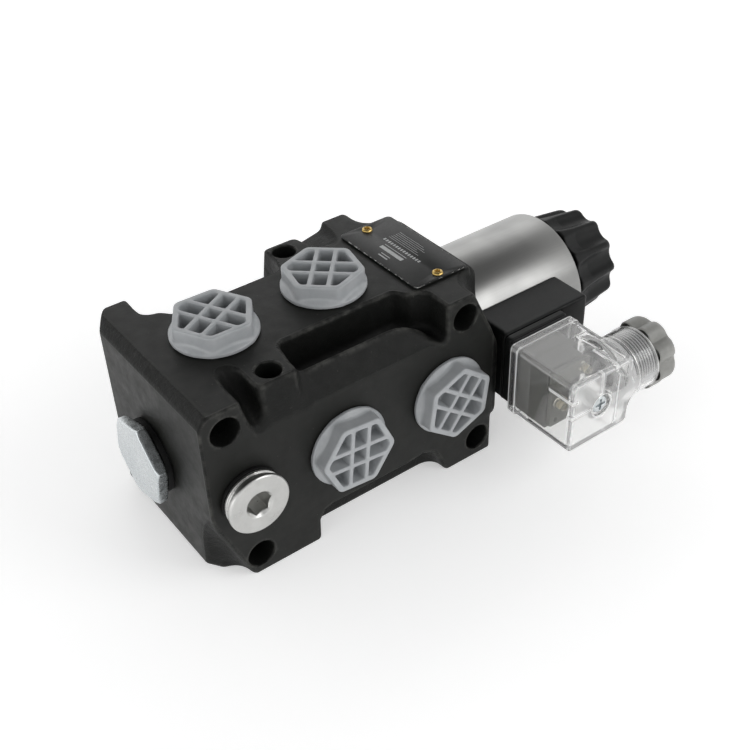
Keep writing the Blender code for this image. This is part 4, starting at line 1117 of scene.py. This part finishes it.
def terminal_block_field(x, y, z):
    """Block that the blades plug into, stepped down on its right."""
    u, v = x - PLUG_X, z - AXIS_Z
    f = smax(smax(slab(u, -11.6, 5.6), np.abs(v) - 11.6, 0.8), slab(y, -56.8, -41.0), 0.7)
    f = smax(f, -(np.hypot(u, v) - 2.3), 0.3)
    for cx, cz, wide, tall in BLADES.values():
        slot = smax(np.abs(x - cx) - wide / 2 - 0.4, np.abs(z - cz) - tall / 2 - 0.4, 0.2)
        f = np.maximum(f, -np.maximum(slot, -50.0 - y))
    # wire clamps let into the front face
    for cu, cv in ((0.0, 8.2), (0.0, -8.2), (-8.2, 0.0)):
        well = smax(np.hypot(u - cu, v - cv) - 2.3, y + 55.4, 0.4)
        f = smax(f, -well, 0.3)
    step = smax(slab(u, 2.8, 9.0), slab(v, -20, 20), 0.5)
    return smax(f, -np.maximum(step, y + 52.0), 0.5)


def board_field(x, y, z):
    u, v = x - PLUG_X, z - AXIS_Z
    f = smax(smax(slab(u, -11.6, 4.0), slab(v, -9.7, 11.7), 1.0), slab(y, -59.0, -57.4), 0.2)
    f = smax(f, -(np.hypot(u, v) - 5.6), 0.2)
    return smax(f, -(np.hypot(u + 9.0, v + 7.5) - 0.8), 0.1)


def gasket_field(x, y, z):
    u, v = x - PLUG_X, z - AXIS_Z
    f = smax(smax(slab(u, -11.6, 13.15), np.abs(v) - 13.15, 1.2), slab(y, -40.0, -38.5), 0.5)
    return smax(f, -smax(slab(u, -10.0, 11.0), np.abs(v) - 11.0, 1.0), 0.4)


def build_connector():
    carved("plug_housing", housing_field, (109.3, PLUG_FRONT, 20.4), (NECK_END, PLUG_BACK, 48.0),
           0.325, DATUM, CLEAR, "connector", ["connector_housing"], 190000, "clear_plastic",
           housing_haze_and_highlight)
    carved("plug_block", terminal_block_field, (111.4, -56.8, 22.5), (128.8, -41, 45.9), 0.3, DATUM,
           BLOCK_GREY, "connector", ["terminal_block"], 30000, "grey_plastic")
    carved("plug_board", board_field, (111.4, -59, 24.4), (127.2, -57.4, 45.9), 0.25, DATUM, BOARD,
           "connector", ["lamp_board"], 12000, "circuit_board")
    dome = [(0, 4.2), (0.9, 3.95), (1.35, 3.4), (1.5, 2.7), (1.5, 0.8), (1.8, 0.7), (1.8, 0), (0, 0)]
    cup = [(0.0, 1.9), (0.35, 1.9), (0.35, 1.5), (0.85, 2.05), (1.0, 2.0), (0.9, 0.5), (0, 0.5)]
    for index, (x, z) in enumerate(((PLUG_X, 43.6), (PLUG_X - 9.2, AXIS_Z)), 1):
        matrix = spot(x, -59.3, z, TO_FRONT)
        lathe("lens_%d" % index, dome, matrix, LAMP, "connector", ["lamp_%d" % index], 48, ease=0.15,
              slot="lamp")
        lathe("chip_%d" % index, cup, matrix, CHIP, "connector", (), 32, ease=0.05, slot="lamp")
    carved("plug_gasket", gasket_field, (111.4, -40.0, 21), (136.3, -38.5, 47.4), 0.25, DATUM,
           RUBBER, "coil", ["connector_gasket"], 16000, "rubber")


def screw_field(u, v, w):
    """Cross-headed screw whose thread starts 18 mm below the head."""
    head, shank, end, thread_top = 3.2, 1.5, -30.5, -18.0
    r = np.hypot(u, v)
    f = polygon(r, w, [(-5, 2.0), (2.5, 2.0), (3.0, 1.7), (head, 1.2), (head, 0), (shank, 0),
                       (shank, end), (-5, end)])
    thread = np.maximum(r - shank + 0.25 * saw(w + np.arctan2(v, u) * (0.5 / math.tau), 0.5),
                        slab(w, end, thread_top))
    f = np.where(w < thread_top, np.maximum(f, thread), f)
    cross = smin(np.maximum(np.abs(u) - 0.42, np.abs(v) - 2.1),
                 np.maximum(np.abs(v) - 0.42, np.abs(u) - 2.1), 0.3)
    return smax(f, -smax(cross, 0.75 - w, 0.3), 0.2)


def gland_nut_field(u, v, w):
    """Head of the gland nut with eight hollow lobes, local w from the end of its thread outwards."""
    lobes, first_lobe = 8, math.radians(148.0)
    lobe_centre, lobe_radius, pocket_radius = 8.85, 3.35, 2.8
    pitch = math.tau / lobes
    r = np.hypot(u, v)
    across = (np.arctan2(v, u) - first_lobe + pitch / 2) % pitch - pitch / 2
    lobe = np.hypot(r * np.cos(across) - lobe_centre, r * np.sin(across))
    f = smin(lobe - lobe_radius, r - 9.9, 0.9)
    head = smax(f, slab(w, 7.75, 16.75), 0.7)
    head = smax(head, (r - 9.4 + (w - 17.2) * 1.1) * 0.67, 1.6)
    pocket = smax(lobe - pocket_radius, w - 12.0, 0.4)
    head = smax(head, -np.maximum(pocket, 9.6 - r), 0.2)
    bore = r - 5.4 - np.clip(w - 15.6, 0, 2) * 0.6
    return smax(head, -bore, 0.4)


def thread_crest(u, v, w):
    """1 on the crests of the gland thread and 0 in its valleys."""
    return 1 - saw(w + np.arctan2(v, u) * (THREAD_PITCH / math.tau), THREAD_PITCH)


def thread_field(long, bore):
    """A threaded tube of a given length and bore, seen through the clear neck."""
    def field(u, v, w):
        r = np.hypot(u, v)
        thread = (r - 8.55 - 0.9 * thread_crest(u, v, w)) * 0.5
        return smax(smax(thread, slab(w, 0.0, long), 0.3), bore - r, 0.3)
    return field


def build_gland():
    cap, bush = (spot(x, GLAND_Y, AXIS_Z, ALONG) for x in (NUT_THREAD_START, BUSH_START))
    carved("gland_cap", gland_nut_field, *around(12.4, 0, 16.8), 0.24, cap, GLAND_GREY, "gland",
           ["gland_nut"], 70000, "grey_plastic")
    sleeve("gland_ring", 141.75, 142.55, 9.3, 4.6, STEEL, "connector", ["gland_washer"], y=GLAND_Y,
           slot="steel", ease=0.15)
    # thread_crest drives painted shade in the thread valleys and a painted highlight on the crests of
    # gland_thread and gland_bush
    carved("gland_thread", thread_field(8.2, 5.4), *around(9.5, 0, 8.2), 0.17, cap, THREAD_GREY,
           "gland", (), 60000, "grey_plastic", thread_crest)
    carved("gland_bush", thread_field(7.0, 4.2), *around(9.5, 0, 7.0), 0.17, bush, THREAD_GREY,
           "connector", ["gland_seal"], 60000, "rubber", thread_crest)
    carved("fixing_screw_head", screw_field, *around(3.2, -30.5, 2.0), 0.13,
           spot(PLUG_X, SCREW_SEAT_Y, AXIS_Z, TO_FRONT), ZINC_END, "fixing_screw", ["connector_screw"],
           40000, "zinc")
    washer = [(3.4, 0.6), (3.4, 0), (1.9, 0), (1.9, 0.6)]
    lathe("screw_washer", washer, spot(PLUG_X, SCREW_SEAT_Y + 0.9, AXIS_Z, TO_FRONT), RUBBER,
          "fixing_screw", ["screw_seal"], 48, closed=True, ease=0.1, slot="rubber")


# ---- build ----
for build in (build_body, build_caps, build_plugs, build_name_plate, build_inside, build_spring,
              build_coil, build_terminal_box, build_ring_nut, build_connector, build_gland):
    build()


# ---- floor, light and camera ----
def build_floor():
    """Pale paper that sweeps up behind the object."""
    half_width, near, far, sweep, top = 2.4, -2.2, 1.2, 0.6, 2.2
    profile = [(near, 0.0), (far, 0.0)]
    for angle in np.radians(range(10, 91, 10)):
        profile.append((far + sweep * math.sin(angle), sweep - sweep * math.cos(angle)))
    profile.append((far + sweep, top))
    bm = bmesh.new()
    rows = [[bm.verts.new((x, y, z)) for x in (-half_width, half_width)] for y, z in profile]
    for a, b in zip(rows, rows[1:]):
        bm.faces.new((a[0], a[1], b[1], b[0]))
    mesh = mesh_from(bm, "floor")
    mesh.shade_smooth()
    floor = linked("floor", mesh)
    n = Nodes("floor_paper", (0.93, 0.93, 0.93), 0.75)
    n.colour(n.mix(n.noise(2.0), (0.93, 0.93, 0.93), (0.95, 0.95, 0.95)))
    n.set("Emission Color", (1.0, 1.0, 1.0, 1.0)).set("Emission Strength", 0.38)
    mesh.materials.append(n.material)


def add_light(name, place, aim, size, power, height=None):
    data = bpy.data.lights.new(name, "AREA")
    data.shape = "RECTANGLE"
    data.size = size
    data.size_y = height or size
    data.energy = power
    light = linked(name, data)
    light.location = place
    light.rotation_euler = (Vector(aim) - Vector(place)).to_track_quat("-Z", "Y").to_euler()


def light_scene():
    """A bright room under a darker ceiling, with three soft lights."""
    world = bpy.data.worlds.new("studio")
    bpy.context.scene.world = world
    world.use_nodes = True
    nodes, links = world.node_tree.nodes, world.node_tree.links
    background = nodes["Background"]
    background.inputs["Color"].default_value = (1, 1, 1, 1)
    direction = nodes.new("ShaderNodeTexCoord")
    split = nodes.new("ShaderNodeSeparateXYZ")
    ramp = nodes.new("ShaderNodeMapRange")
    links.new(direction.outputs["Generated"], split.inputs[0])
    links.new(split.outputs[2], ramp.inputs["Value"])
    for socket, value in (("From Min", 0.55), ("From Max", 0.8), ("To Min", 0.92), ("To Max", 0.16)):
        ramp.inputs[socket].default_value = value
    links.new(ramp.outputs[0], background.inputs["Strength"])
    middle = (0.0, 0.0, 0.03)
    add_light("back_window", (0.45, 0.62, 0.62), middle, 0.8, 0.6)
    add_light("front_right", (0.50, -0.66, 0.54), (0.08, 0, 0.05), 0.5, 1.9)
    add_light("left_wall", (-0.8, -0.05, 0.2), middle, 1.0, 1.25, 0.4)
    bpy.context.scene.view_settings.view_transform = "Standard"


def place_camera():
    data = bpy.data.cameras.new("camera")
    data.lens = 54.53
    data.sensor_width = 36.0
    camera = linked("camera", data)
    camera.location = (-0.15304, -0.2536, 0.26666)
    camera.rotation_euler = [math.radians(angle) for angle in (52.05, 1.589, -36.8745)]
    bpy.context.scene.camera = camera


build_floor()
light_scene()
place_camera()
